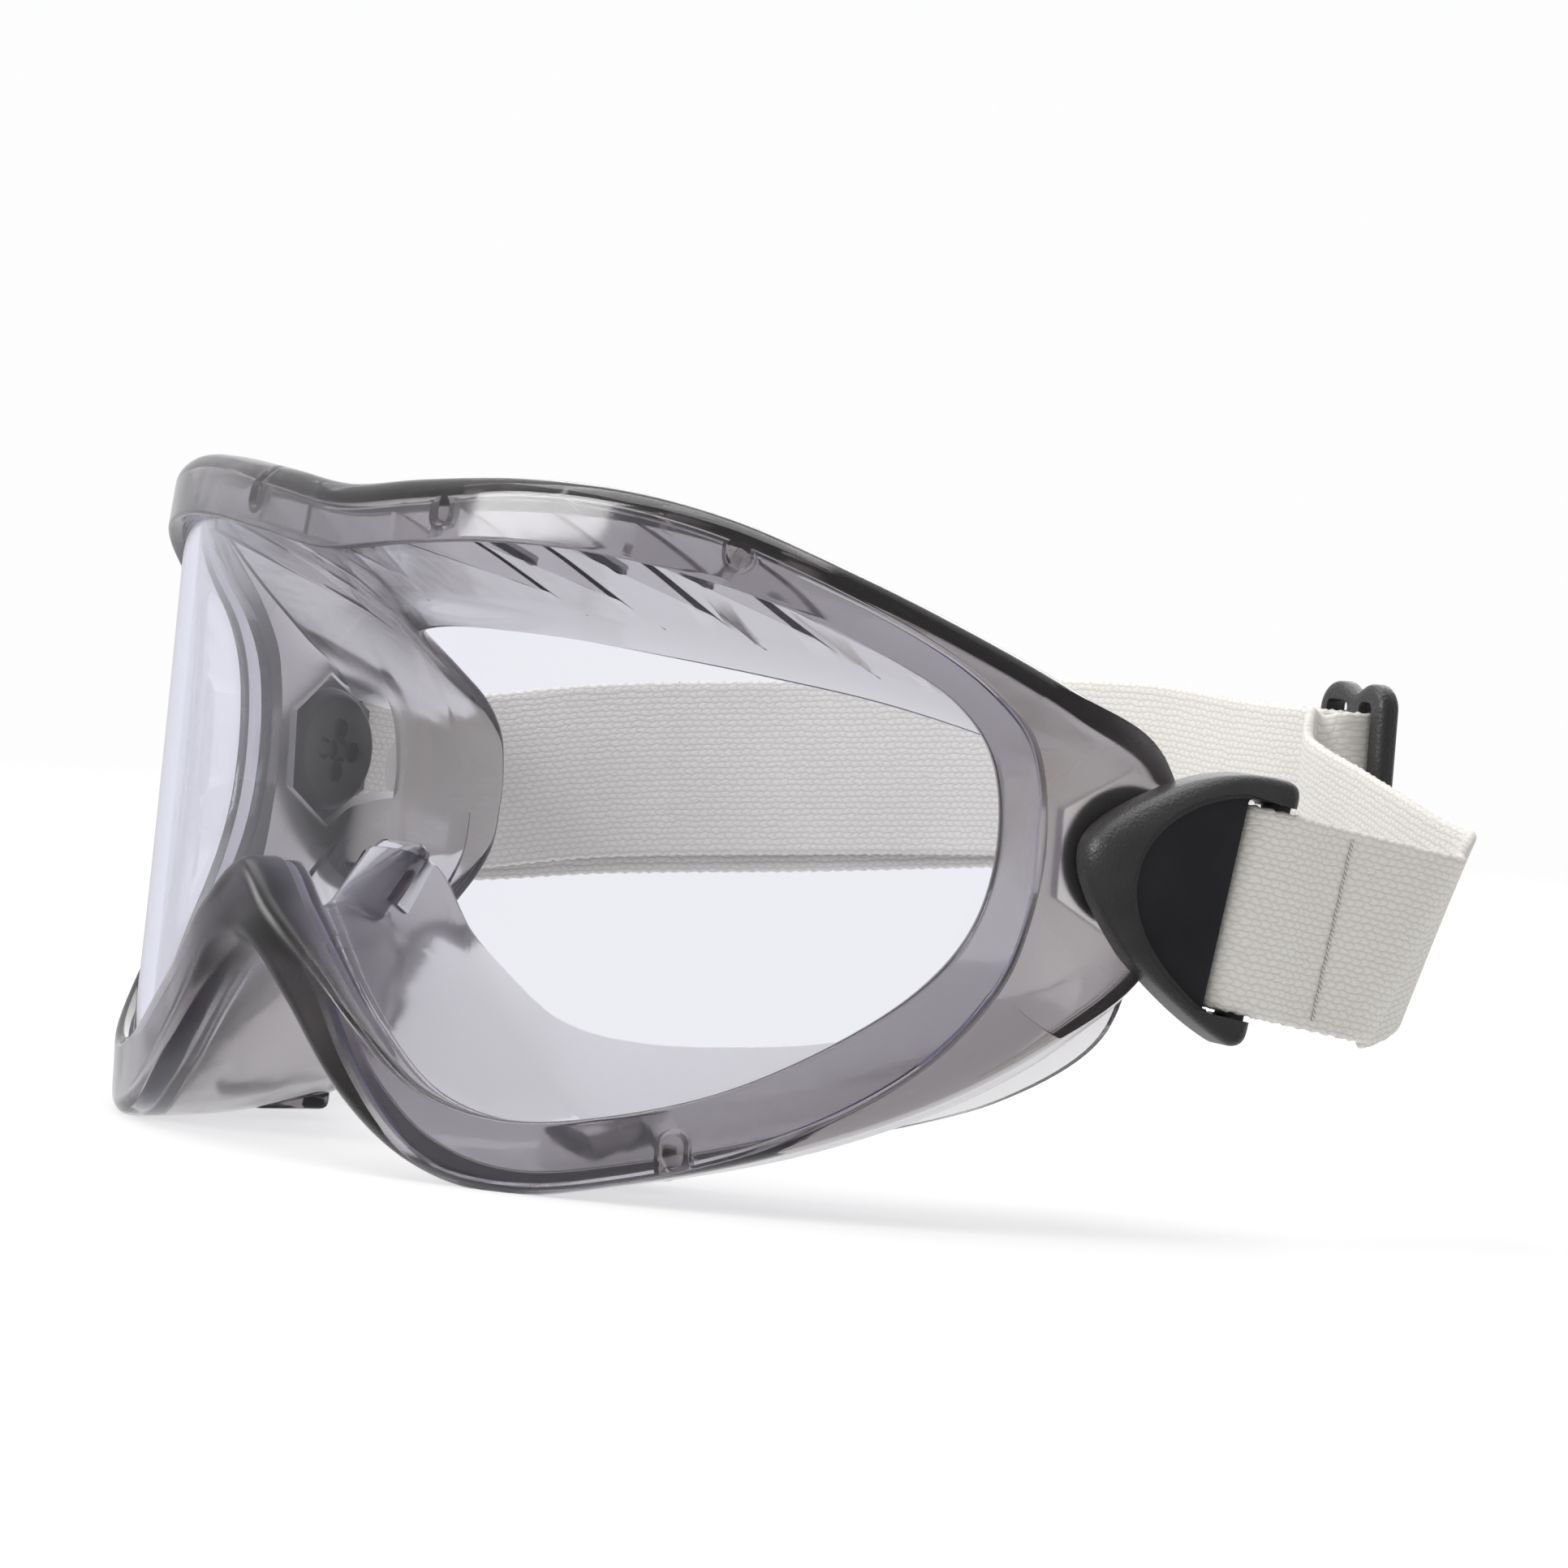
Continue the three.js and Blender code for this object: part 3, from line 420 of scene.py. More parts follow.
class Nodes:
    """Short spellings for building the node tree of a material or a world."""

    def __init__(self, name, world=None):
        self.material = world or bpy.data.materials.new(name)
        self.material.use_nodes = True
        self.tree = self.material.node_tree
        self.tree.nodes.clear()
        kind = "ShaderNodeOutputWorld" if world else "ShaderNodeOutputMaterial"
        self.output = self.tree.nodes.new(kind)

    def add(self, kind, **values):
        """A node with its settings and inputs; a socket given as a value is linked."""
        node = self.tree.nodes.new("ShaderNode" + kind)
        for key, value in values.items():
            if hasattr(node, key) and not key[0].isupper():
                setattr(node, key, value)
            else:
                self.feed(node.inputs[key.replace("_", " ")], value)
        return node

    def feed(self, socket, value):
        """Links or sets one input."""
        if isinstance(value, bpy.types.NodeSocket):
            self.tree.links.new(value, socket)
        else:
            socket.default_value = value

    def fill(self, node, *values):
        """Sets a node's inputs in order, and returns its outputs."""
        for socket, value in zip(node.inputs, values):
            self.feed(socket, value)
        return node.outputs

    def maths(self, operation, *values):
        """Result of a Math node."""
        return self.fill(self.add("Math", operation=operation), *values)[0]

    def vectors(self, operation, *values):
        """Outputs of a Vector Math node: a vector and a value."""
        return self.fill(self.add("VectorMath", operation=operation), *values)

    def ramp(self, value, stops):
        """Colour ramp of (position, colour) stops."""
        node = self.tree.nodes.new("ShaderNodeValToRGB")
        self.feed(node.inputs[0], value)
        elements = node.color_ramp.elements
        while len(elements) < len(stops):
            elements.new(0.5)
        for element, (position, colour) in zip(elements, stops):
            element.position = position
            element.color = (*colour, 1)
        return node.outputs[0]

    def noise(self, scale, detail=3, vector=None):
        """Fractal noise over the object's own coordinates."""
        return self.add("TexNoise", Vector=vector or self.place(), Scale=scale, Detail=detail).outputs[0]

    def bump(self, height, strength, distance):
        """Normal of a height pattern; distance in metres."""
        return self.add("Bump", Height=height, Strength=strength, Distance=distance).outputs[0]

    def mix(self, kind, share, first, second):
        """Mix of two colours or two shaders."""
        return self.fill(self.add(kind), share, first, second)[0]

    def fade(self, point, centre, near, far, amount):
        """Amount within the near distance of a centre, 0 beyond the far one, in metres."""
        apart = self.vectors("DISTANCE", point, centre)["Value"]
        return self.fill(self.add("MapRange"), apart, near, far, amount, 0.0)[0]

    def parts(self, vector):
        """The three numbers of a vector."""
        return self.fill(self.add("SeparateXYZ"), vector)

    def place(self, kind="Object"):
        """Texture coordinates."""
        return self.add("TexCoord").outputs[kind]

    def skin(self, colour, roughness, normal, ior=1.5, **more):
        """Shader of a plain surface."""
        return self.add("BsdfPrincipled", Base_Color=colour, Roughness=roughness, IOR=ior,
                        Normal=normal, **more).outputs[0]

    def surface(self, shader):
        """Sets the surface, and returns the material."""
        self.feed(self.output.inputs["Surface"], shader)
        return self.material


CREST_CENTRE = (0, -5, -13)  # middle of the crest over the nose
CREST_NEAR, CREST_FAR, FROST = 0.010, 0.024, 0.24  # reach in metres, and added roughness
# Painted shade: the clear plastic's colour darkens to this over the nose crest.
CREST_SHADE_COLOUR = (0.50, 0.49, 0.51)
PAD_NEAR, PAD_FAR, PAD_FROST = 0.013, 0.018, 0.22  # the same round each clip's pad
LENS_TINT = (0.78, 0.79, 0.97)


def clear_material(name, tint, density, ior, roughness, film, waviness, base, clearness, frost=0.0):
    """Clear plastic: refracts, darkens with depth, and lets lamps through softly."""
    n = Nodes(name)
    colour = (*base, 1)
    waves = n.noise(90, 2)
    rough = n.maths("MULTIPLY_ADD", n.noise(400, 4), roughness * 0.6, roughness * 0.7)
    if frost:
        place = n.place()
        crest = n.fade(place, tuple(row(CREST_CENTRE)), CREST_NEAR, CREST_FAR, 1.0)
        rough = n.maths("MULTIPLY_ADD", crest, frost, rough)
        # Painted shade: the colour darkens towards the crest over the nose.
        colour = n.ramp(crest, [(0.0, base), (1.0, CREST_SHADE_COLOUR)])
        for side in (-1, 1):
            pad = n.fade(place, tuple(row(PIVOT * (side, 1, 1))), PAD_NEAR, PAD_FAR, PAD_FROST)
            rough = n.maths("ADD", rough, pad)
    skin = n.skin(colour, rough, n.bump(waves, waviness, 0.0004), ior, Transmission_Weight=clearness)
    path = n.add("LightPath").outputs
    soft = n.maths("MAXIMUM", path["Is Shadow Ray"], path["Is Diffuse Ray"])
    through = n.add("BsdfTransparent", Color=(*film, 1))
    depth = n.add("VolumeAbsorption", Color=(*tint, 1), Density=density)
    n.feed(n.output.inputs["Volume"], depth.outputs[0])
    return n.surface(n.mix("MixShader", soft, skin, through.outputs[0]))


def black_plastic(name, base, roughness, grain):
    """Moulded black plastic with a fine spark-eroded grain."""
    n = Nodes(name)
    fine = n.noise(2600, 3)
    broad = n.noise(60, 3)
    dark = tuple(c * 0.8 for c in base)
    pale = tuple(c * 1.3 for c in base)
    colour = n.ramp(broad, [(0.3, dark), (0.7, pale)])
    rough = n.maths("MULTIPLY_ADD", broad, 0.16, roughness - 0.08)
    return n.surface(n.skin(colour, rough, n.bump(fine, grain, 0.00012)))


KNIT_ROW, KNIT_STITCH = 0.85, 1.3  # loop height and length, in mm
KNIT_WOBBLE, KNIT_DRIFT = 0.9, 1.1  # unevenness across and along, in mm
KNIT_SHIFT = (31, 17, 0)  # keeps the two unevennesses apart
# Yarn colour by loop height: darker low down between the loops, as painted shade.
KNIT_TONE_AND_SHADE = [(0.25, (0.52, 0.505, 0.475)), (0.8, (0.62, 0.605, 0.575)), (1.0, (0.67, 0.655, 0.625))]
# Broad random blotches, a little darker in places, multiplied into the knit's colour.
BLOTCH_COLOURS = [(0.3, (0.88, 0.87, 0.84)), (0.7, (1, 1, 1))]


def knit_material():
    """Knitted elastic: rows of small loops that run along the band."""
    n = Nodes("knitted_elastic")
    uv = n.add("UVMap", uv_map="band").outputs[0]
    along, across, _ = n.parts(uv)
    elsewhere = n.add("Mapping", Vector=uv, Location=KNIT_SHIFT).outputs[0]
    wobble = n.maths("MULTIPLY_ADD", n.noise(0.5, 3, uv), KNIT_WOBBLE, -KNIT_WOBBLE / 2)
    drift = n.maths("MULTIPLY_ADD", n.noise(0.8, 3, elsewhere), KNIT_DRIFT, -KNIT_DRIFT / 2)
    along = n.maths("ADD", along, drift)
    rows = n.maths("DIVIDE", n.maths("ADD", across, wobble), KNIT_ROW)
    row_number = n.maths("FLOOR", rows)
    in_row = n.maths("FRACT", rows)
    brick = n.maths("MULTIPLY", n.maths("MODULO", row_number, 2.0), 0.5)
    stitch = n.maths("ADD", n.maths("DIVIDE", along, KNIT_STITCH), brick)
    bow = n.maths("MULTIPLY", n.maths("ABSOLUTE", n.maths("SUBTRACT", in_row, 0.5)), 0.8)
    in_stitch = n.maths("FRACT", n.maths("ADD", stitch, bow))
    high = n.maths("SINE", n.maths("MULTIPLY", in_row, pi))
    wide = n.maths("SINE", n.maths("MULTIPLY", in_stitch, pi))
    loops = n.maths("MULTIPLY", n.maths("POWER", high, 0.7), n.maths("MULTIPLY_ADD", wide, 0.75, 0.25))
    fuzz = n.noise(6, 4, uv)
    height = n.maths("MULTIPLY_ADD", fuzz, 0.7, loops)
    blotches = n.ramp(n.noise(0.05, 2, uv), BLOTCH_COLOURS)
    # Painted shade between the loops, times the broad blotches.
    colour = n.add("MixRGB", blend_type="MULTIPLY", Fac=0.35, Color1=n.ramp(height, KNIT_TONE_AND_SHADE),
                   Color2=blotches).outputs[0]
    rough = n.maths("MULTIPLY_ADD", fuzz, 0.1, 0.85)
    return n.surface(n.skin(colour, rough, n.bump(height, 0.6, 0.00016),
                            Sheen_Weight=0.25, Sheen_Roughness=0.5))


def thread_material():
    """Twisted sewing thread."""
    n = Nodes("sewing_thread")
    twist = n.add("TexWave", bands_direction="DIAGONAL", Vector=n.place(), Scale=900,
                  Distortion=0.6).outputs[1]
    # Thread colour, darker in the twist's grooves as painted shade.
    colour = n.ramp(twist, [(0.2, (0.30, 0.29, 0.28)), (0.8, (0.62, 0.60, 0.57))])
    return n.surface(n.skin(colour, 0.7, n.bump(twist, 0.5, 0.0001)))


MATERIALS = {
    "pvc": clear_material("smoke_pvc", (0.605, 0.58, 0.592), 345, 1.5, 0.10, (0.8, 0.79, 0.8), 0.25,
                          (0.95, 0.945, 0.95), 0.98, FROST),
    "lens": clear_material("clear_lens", LENS_TINT, 150, 1.58, 0.0, (0.96, 0.96, 0.98), 0.0,
                           (1, 1, 1), 1),
    # Cut lens edge: rougher, and its dark violet colour is painted shade.
    "lens_edge": clear_material("cut_lens_edge_painted_shade", LENS_TINT, 150, 1.58, 0.25,
                                (0.7, 0.7, 0.8), 0.0, (0.32, 0.30, 0.5), 0.8),
    "grain": black_plastic("satin_grain_black", (0.033, 0.032, 0.033), 0.36, 1.0),
    "panel": black_plastic("smooth_panel_black", (0.017, 0.017, 0.020), 0.34, 0.12),
    "elastic": knit_material(),
    "thread": thread_material(),
}


# --- frame

def lens_point(place, off):
    """Points on the lens surface, from (degrees, height) and the distance off its front."""
    degrees, z = place[..., 0], place[..., 1]
    angle = np.radians(degrees)
    fade = np.maximum(0, 1 - (degrees / LEAN_END_DEG) ** 2) ** 2
    radius = LENS_RADIUS + off
    lean = LENS_LEAN * (z - LEAN_PIVOT_Z) * fade
    return np.stack(
        (radius * np.sin(angle), LENS_RADIUS - radius * np.cos(angle) + lean, z), -1)


def station_values(index):
    """One value of every station round the whole ring, left side then right side."""
    half = [np.atleast_1d(np.array(s[index], float)) for s in STATIONS]
    other = []
    for value in half[-2:0:-1]:
        value = value.copy()
        if len(value) > 1:
            value[0] *= -1
        other.append(value)
    return np.array(half + other)


RIM, LIP, BEND, EDGE, HOLD = (closed_curve(station_values(k), SECTIONS) for k in range(5))


def inward_normal(a, b, along):
    """Unit normal of the wall from a to b, towards the inside of the goggles."""
    return unit(np.cross(b - a, along))


RING = BEND + lens_point(RIM, 0)
TANGENT = unit(np.roll(RING, -1, 0) - np.roll(RING, 1, 0))  # along the ring


def lens_edge(extra=0.0):
    """The lens outline, as (degrees, height) at each section."""
    band = norm(lens_point(RIM, 0) - lens_point(LIP, 0), axis=1)[:, None]
    return LIP + (RIM - LIP) * (HOLD + extra / band)


def round_corners(corners):
    """Section points from corners [(points, radius, steps)], each rounded."""
    out = []
    count = len(corners)
    for k, (p, radius, steps) in enumerate(corners):
        before, after = corners[k - 1][0] - p, corners[(k + 1) % count][0] - p
        reach = 0.46 * np.minimum(norm(before, axis=1), norm(after, axis=1))
        cut = np.minimum(radius, reach)[:, None]
        a, b = p + unit(before) * cut, p + unit(after) * cut
        for t in np.linspace(0, 1, steps + 1):
            out.append((1 - t) ** 2 * a + 2 * t * (1 - t) * p + t * t * b)
    return np.stack(out, 1)


def nose_weight(outer, inner):
    """Weight of each section: 0 outer stations from the nose centre, 1 inner stations."""
    station = np.arange(SECTIONS) * RING_STATIONS / SECTIONS
    return smoothstep(-np.abs(station - NOSE_STATION), -outer, -inner)


def frame_sections():
    """C-shaped sections: lip, rim, wall, face flange and back to the groove."""
    def inward(t):
        return LIP + (RIM - LIP) * t

    groove = lens_edge(GROOVE_DEPTH_GAP)
    back = -LENS_THICK - GROOVE_GAP
    seat = back - SEAT_THICK
    nose, knob = nose_weight(*NOSE_SPAN), nose_weight(*KNOB_SPAN)
    proud = LIP_PROUD + NOSE_PROUD * nose + KNOB_PROUD * knob
    wall = (WALL + NOSE_WALL * nose)[:, None]
    shoulder = lens_point(RIM, -SHOULDER_DROP)
    wall_in = inward_normal(shoulder, BEND, TANGENT)
    flange_in = inward_normal(BEND, EDGE, TANGENT)
    dot = np.sum(wall_in * flange_in, 1, keepdims=True)
    corner = (wall_in + flange_in) / (1 + dot)
    middle = shoulder + (BEND - shoulder) * 0.45 - 1.2 * wall_in
    run = unit(BEND - shoulder)
    front = shoulder + run * (-seat - SHOULDER_DROP + 0.6) + wall_in * wall
    return round_corners([
        (lens_point(LIP, proud - 0.5 * nose), 0.7 + 2.3 * nose + 1.5 * knob, 8),
        (lens_point(inward(0.82), proud - 0.5 - 0.4 * KNOB_PROUD * knob), 1.6 + 3.4 * nose, 8),
        (lens_point(inward(0.96), LIP_PROUD - 1.6 + 0.4 * NOSE_PROUD * nose), 1.0 + nose, 4),
        (shoulder, 1.0 + nose, 4),
        (middle, 30, 8),
        (BEND, 1.6, 5),
        (EDGE, 0.5, 3),
        (EDGE + flange_in * FLANGE, 0.5, 3),
        (BEND + corner * WALL, 1.4, 4),
        (middle + wall_in * wall, 30, 8),
        (front, 0.9, 4),
        (lens_point(inward(0.05), seat), 0.6, 3),
        (lens_point(inward(0.05), back), 0.35, 2),
        (lens_point(groove, back), 0.3, 2),
        (lens_point(groove, GROOVE_GAP), 0.3, 2),
        (lens_point(LIP, GROOVE_GAP), 0.3, 2),
    ])


def both_sides(make, name, *values):
    """A left-hand solid and its mirror copy."""
    left = make(name, *values)
    return [left, mirror_copy(left, name + "_mirrored")]


def crossing(name, place, radius, length_to_edge):
    """Keyhole bar across the lens channel, drawn out towards the lens's nearest edge."""
    front = lens_point(np.array(place, float), LIP_PROUD - 1.2)
    rear = lens_point(np.array(place, float), -LENS_THICK - 1.2)
    z = unit(rear - front)
    x = unit(np.cross(UP, z))
    length = norm(rear - front)
    reach = copysign(length_to_edge, place[1])
    low, high = sorted((-copysign(radius, reach), reach))
    outline = box_outline(-radius, radius, low, high, radius * 0.98, 8)
    return prism(name, axes(front, x, np.cross(z, x), z), outline, 0, length)


def clip_axes(dip):
    """Axes at the left clip's hinge: x towards the strap, y up, z out of the facet."""
    out = np.array((cos(FACET_YAW), -sin(FACET_YAW), 0))
    rear = np.array((sin(FACET_YAW), cos(FACET_YAW), 0))
    x = rear * cos(dip) - UP * sin(dip)
    y = rear * sin(dip) + UP * cos(dip)
    return axes(PIVOT, x, y, out)


MIRROR = np.diag((-1.0, 1, 1, 1))
LEFT_CLIP = clip_axes(CLIP_DIP)
RIGHT_CLIP = MIRROR @ clip_axes(RIGHT_DIP)


def section_at(station):
    """Loft section nearest a station number, counted from the brow centre."""
    return round(station * SECTIONS / RING_STATIONS)


VENT_STATIONS = [1.2, 2.1, 3.0, 3.9]
VENT_HALF_LENGTH, VENT_HALF_WIDTH = 4, 1.1


def vent_cutter(name, station):
    """Slanted slot through the top wall, just behind the rim."""
    i = section_at(station)
    shoulder = lens_point(RIM[i], -SHOULDER_DROP)
    z = inward_normal(shoulder, BEND[i], TANGENT[i])
    slant = unit(BEND[i] - shoulder) + 0.5 * TANGENT[i]
    x = unit(slant - z * np.dot(slant, z))
    centre = (shoulder + BEND[i]) / 2
    length, width = VENT_HALF_LENGTH, VENT_HALF_WIDTH
    outline = box_outline(-length, length, -width, width, 0.9)
    return prism(name, axes(centre, x, np.cross(z, x), z), outline, -4, 6)


BAFFLE_STATIONS = [0.55, 1.45, 2.35, 3.25, 4.15]
BAFFLE_SLANT = 0.75  # stations that a baffle runs over, front to rear
BAFFLE_THICK = 0.9
CREASES = (-65, 0, 65)  # fan of creases at the pad's upper and lower corner
CREASE_LENGTH = 3.2


def baffle(name, station):
    """Slanted plate across the channel, from the lens seat to the face flange."""
    i, k = section_at(station), section_at(station + BAFFLE_SLANT)
    seat = -LENS_THICK - GROOVE_GAP - SEAT_THICK * 0.5
    inner = lens_point(LIP[i] + (RIM[i] - LIP[i]) * 0.12, seat)
    outer = lens_point(LIP[i] + (RIM[i] - LIP[i]) * 0.9, seat)
    deep = BEND[k] + inward_normal(lens_point(RIM[k], 0), BEND[k], TANGENT[k]) * 0.8
    tip = EDGE[k] + (BEND[k] - EDGE[k]) * 0.95
    thick = unit(np.cross(deep - outer, inner - outer)) * BAFFLE_THICK / 2
    corners = np.array([inner, outer, deep, tip])
    return loft(name, [corners - thick, corners + thick])


def hood(name):
    """Hooded lower vent: a shallow box under the cheek."""
    turn = axes((0, 0, 0), (0, 1, 0), UP, (1, 0, 0))
    outline = path2d((20, -40), [
        [(21.2, -43.2)], [(21.6, -44.3), (23, -44.3)], [(32.2, -44.3)], [(33.5, -44.3), (33.5, -43)],
        [(33.5, -40)],
    ], 4)
    return prism(name, turn, outline, 32.5, 42.5, 0.5)


TONGUE_HALF, TONGUE_HEIGHT = 5.2, 11.8
SLIT_FROM, SLIT_TO, SLIT_FOOT = 5.3, 6.8, 2.4


def nose_flap_axes():
    """Axes at the nose middle of the face flange: x sideways, y up along the flange."""
    bend, edge = (np.array(STATIONS[NOSE_STATION][k], float) for k in (2, 3))
    x, y = np.array((1.0, 0, 0)), unit(edge - bend)
    return axes(bend, x, y, np.cross(x, y))


def nose_tongue(name):
    """Rounded tongue that stands up from the flange over the nose."""
    outline = box_outline(-TONGUE_HALF, TONGUE_HALF, -1, TONGUE_HEIGHT, 1.6, 6)
    return prism(name, nose_flap_axes(), outline, -1.4, 0.3, 0.4)


def nose_slit(name):
    """Straight slit between the tongue and the cheek flange."""
    outline = box_outline(SLIT_FROM, SLIT_TO, SLIT_FOOT, 18, 0.6)
    return prism(name, nose_flap_axes(), outline, -4, 4)


OUTER_FLANGE_HALF = 0.55  # half its thickness
# Width of the thin outer flange behind the rim's lower corner, by station.
OUTER_FLANGE = [(9.0, 0.0), (9.5, 3.4), (10, 5.6), (10.6, 5.0), (11.2, 4.0), (12, 2.7), (13.2, 0.0)]


def outer_flange(name):
    """Thin clear crescent that carries the face flange on past the wall."""
    first, last = section_at(OUTER_FLANGE[0][0]) + 1, section_at(OUTER_FLANGE[-1][0])
    table = np.array(OUTER_FLANGE)
    rings = []
    for i in range(first, last):
        width = np.interp(i * RING_STATIONS / SECTIONS, table[:, 0], table[:, 1])
        out = unit(BEND[i] - EDGE[i])
        face = unit(np.cross(TANGENT[i], out)) * OUTER_FLANGE_HALF
        root, tip = BEND[i] - out * 1.2, BEND[i] + out * width
        rings.append([root - face, tip - face * 0.7, tip + face * 0.7, root + face])
    return loft(name, rings)


def hexagon(size):
    """Hexagon with a corner up, anticlockwise; size is to its flats."""
    a = np.radians(np.arange(30, 390, 60))
    return np.stack((np.cos(a), np.sin(a)), 1) * size / cos(pi / 6)


def crease(name, facet, end, turn):
    """Low ridge on the facet's two faces, from the pad's upper (1) or lower (-1) corner."""
    across, up, out = facet[:3, :3].T
    a = radians(end * (90 + turn))
    x = across * cos(a) + up * sin(a)
    place = in_axes(facet, (0, end * PAD_RADIUS / cos(pi / 6), 0))
    outline = box_outline(0, CREASE_LENGTH, -0.22, 0.22, 0.2)
    return prism(name, axes(place, x, np.cross(out, x), out), outline, -FACET_WALL - 0.35, 0.25)


def build_frame():
    """Soft frame with its pads, pegs, hoods, baffles, vents, bores and slits."""
    facet = clip_axes(0)
    body = loft("soft_frame", frame_sections(), closed=True)
    joined = both_sides(prism, "pad", facet, hexagon(PAD_RADIUS), -FACET_WALL, 0)
    joined += both_sides(hood, "hood")
    joined += both_sides(outer_flange, "outer_flange")
    joined.append(nose_tongue("tongue"))
    for place in NOTCHES:
        joined += both_sides(crossing, "peg", place, PEG_RADIUS, PEG_REACH)
    for station in BAFFLE_STATIONS:
        joined += both_sides(baffle, "baffle", station)
    for end in (1, -1):
        for turn in CREASES:
            joined += both_sides(crease, "crease", facet, end, turn)
    combine(body, "UNION", joined)
    cut = both_sides(prism, "pocket", facet, hexagon(PAD_RADIUS - 0.3), -FACET_WALL - 7, -FACET_WALL)
    cut += both_sides(prism, "face", facet, disc_outline(PAD_RADIUS + 14), 0.3, 3)
    cut += both_sides(prism, "bore", facet, disc_outline(BORE_RADIUS), -10, 10)
    cut += both_sides(nose_slit, "slit")
    for station in VENT_STATIONS:
        cut += both_sides(vent_cutter, "vent", station)
    under = box_outline(-100, 100, -20, 60, 1)
    cut.append(prism("under", np.identity(4), under, FOOT_Z - 20, FOOT_Z))
    combine(body, "DIFFERENCE", cut)
    shade(body, 38)
    return finish_piece(body, ["pvc"], "goggles", "soft_frame", "frame")


# --- lens

LENS_COLUMNS = 160


def build_lens():
    """Curved clear sheet with keyed notches."""
    edge = lens_edge()[: SECTIONS // 2 + 1]
    widest = int(np.argmax(edge[:, 0]))
    top, bottom = edge[: widest + 1], edge[widest:][::-1]
    end = edge[widest, 0] - 0.25
    degrees = end * np.sin((np.arange(LENS_COLUMNS + 1) / LENS_COLUMNS - 0.5) * pi)
    high = np.interp(np.abs(degrees), top[:, 0], top[:, 1])
    low = np.interp(np.abs(degrees), bottom[:, 0], bottom[:, 1])
    rise = np.linspace(0, 1, 25)
    chamfer = 0.25
    rings = []
    for d, a, b in zip(degrees, low, high):
        z = a + (b - a) * rise
        z[0], z[-1] = a + chamfer, b - chamfer
        column = np.stack((np.full_like(z, d), z), -1)
        tips = [np.array(((d, b),)), np.array(((d, a),))]
        rings.append(np.vstack((
            lens_point(column, 0), lens_point(tips[0], -chamfer),
            lens_point(tips[0], chamfer - LENS_THICK),
            lens_point(column[::-1], -LENS_THICK),
            lens_point(tips[1], chamfer - LENS_THICK), lens_point(tips[1], -chamfer),
        )))
    lens = loft("lens_sheet", rings)
    cut = []
    for place in NOTCHES:
        cut += both_sides(crossing, "notch", place, NOTCH_RADIUS, NOTCH_REACH)
    combine(lens, "DIFFERENCE", cut)
    shade(lens, 30)
    finish_piece(lens, ["lens", "lens_edge"], "goggles", "lens", "lens")
    # Edge faces take the edge material, whose dark violet is painted shade.
    for face in lens.data.polygons:
        drawn = (np.array(face.center) - ORIGIN) / MM
        radial = unit(np.array((drawn[0], drawn[1] - LENS_RADIUS, 0)))
        face.material_index = 1 if abs(np.dot(np.array(face.normal), radial)) < 0.6 else 0
    return lens


# --- strap clips

def clip_outline():
    """Clip's outline in its own plane, anticlockwise."""
    rear, high, low, round_ = CLIP_REAR, CLIP_HIGH, CLIP_LOW, 2.2
    return even_outline(path2d((rear, low + round_), [
        [(rear, high - round_)],
        [(rear, high), (rear - round_, high)],
        [(9.5, high + 0.1), (4.5, 12), (0, 8.8)],
        [(-3.6, 6.4), (-CLIP_NOSE, 3.2), (-CLIP_NOSE, -0.3)],
        [(-CLIP_NOSE, -4), (-4.4, -8), (0.1, -12)],
        [(4.3, -14.8), (9.5, -18), (rear - round_, low)],
        [(rear, low), (rear, low + round_)],
    ], 16), 168)


def panel_outline(margin=0.0):
    """Sunken smooth panel in front of the strap slot, anticlockwise."""
    m = margin
    return path2d((SLOT_TO, SLOT_LOW), [
        [(SLOT_TO, SLOT_HIGH)],
        [(SLOT_FROM - m, SLOT_HIGH + m / 2)],
        [(3.5 - m / 2, 9 + m), (-2.3 - m, 4 + m / 2), (-2.3 - m, -1.8)],
        [(-2.3 - m, -7.4 - m / 2), (2.6 - m / 2, -12.2 - m), (SLOT_FROM - m, SLOT_LOW - m / 2)],
    ], 24)[:-1]


def clip_body(name, matrix):
    """Crowned clip with its sunken panel, strap slot and bar, and the hinge stud."""
    outline = clip_outline()
    front = 1 - smoothstep(outline[:, 0], -6, 9)
    spread = 1.3 + 4.2 * front
    drop = 1.3 + 2.3 * front
    levels = [(CLIP_GAP, 0.5), (CLIP_GAP + 0.25, 0.12), (CLIP_GAP + 0.7, 0.0)]
    for angle in np.radians(np.linspace(0, 90, 9)):
        levels.append((CLIP_TOP - drop * (1 - sin(angle)), spread * (1 - cos(angle))))
    body = plate(name, matrix, outline, levels)
    stud_low = -FACET_WALL - BUTTON_GAP - 0.6
    stud = prism("stud", matrix, disc_outline(STUD_RADIUS, 40), stud_low, CLIP_GAP + 1)
    combine(body, "UNION", [stud])
    rear = CLIP_REAR + 2
    slot = box_outline(SLOT_FROM, SLOT_TO, SLOT_LOW, SLOT_HIGH, 0.6)
    bar_gap = box_outline(SLOT_TO - 0.1, rear, SLOT_LOW, SLOT_HIGH, 0.4)
    over = CLIP_TOP + 1
    return cut_shapes(body, matrix, [
        (panel_outline(0.7), CLIP_TOP - 0.5, over), (panel_outline(), CLIP_TOP - PANEL_DEPTH, over),
        (slot, -1, over), (bar_gap, BAR_OUTER, over), (bar_gap, -1, BAR_INNER),
    ])


def mark_panel(body, matrix):
    """Gives the panel's flat floor the second material."""
    out = matrix[:3, 2]
    floor = CLIP_TOP - PANEL_DEPTH
    for face in body.data.polygons:
        height = np.dot((np.array(face.center) - ORIGIN) / MM - matrix[:3, 3], out)
        level = abs(np.dot(np.array(face.normal), out)) > 0.995
        face.material_index = 1 if level and abs(height - floor) < 0.25 else 0


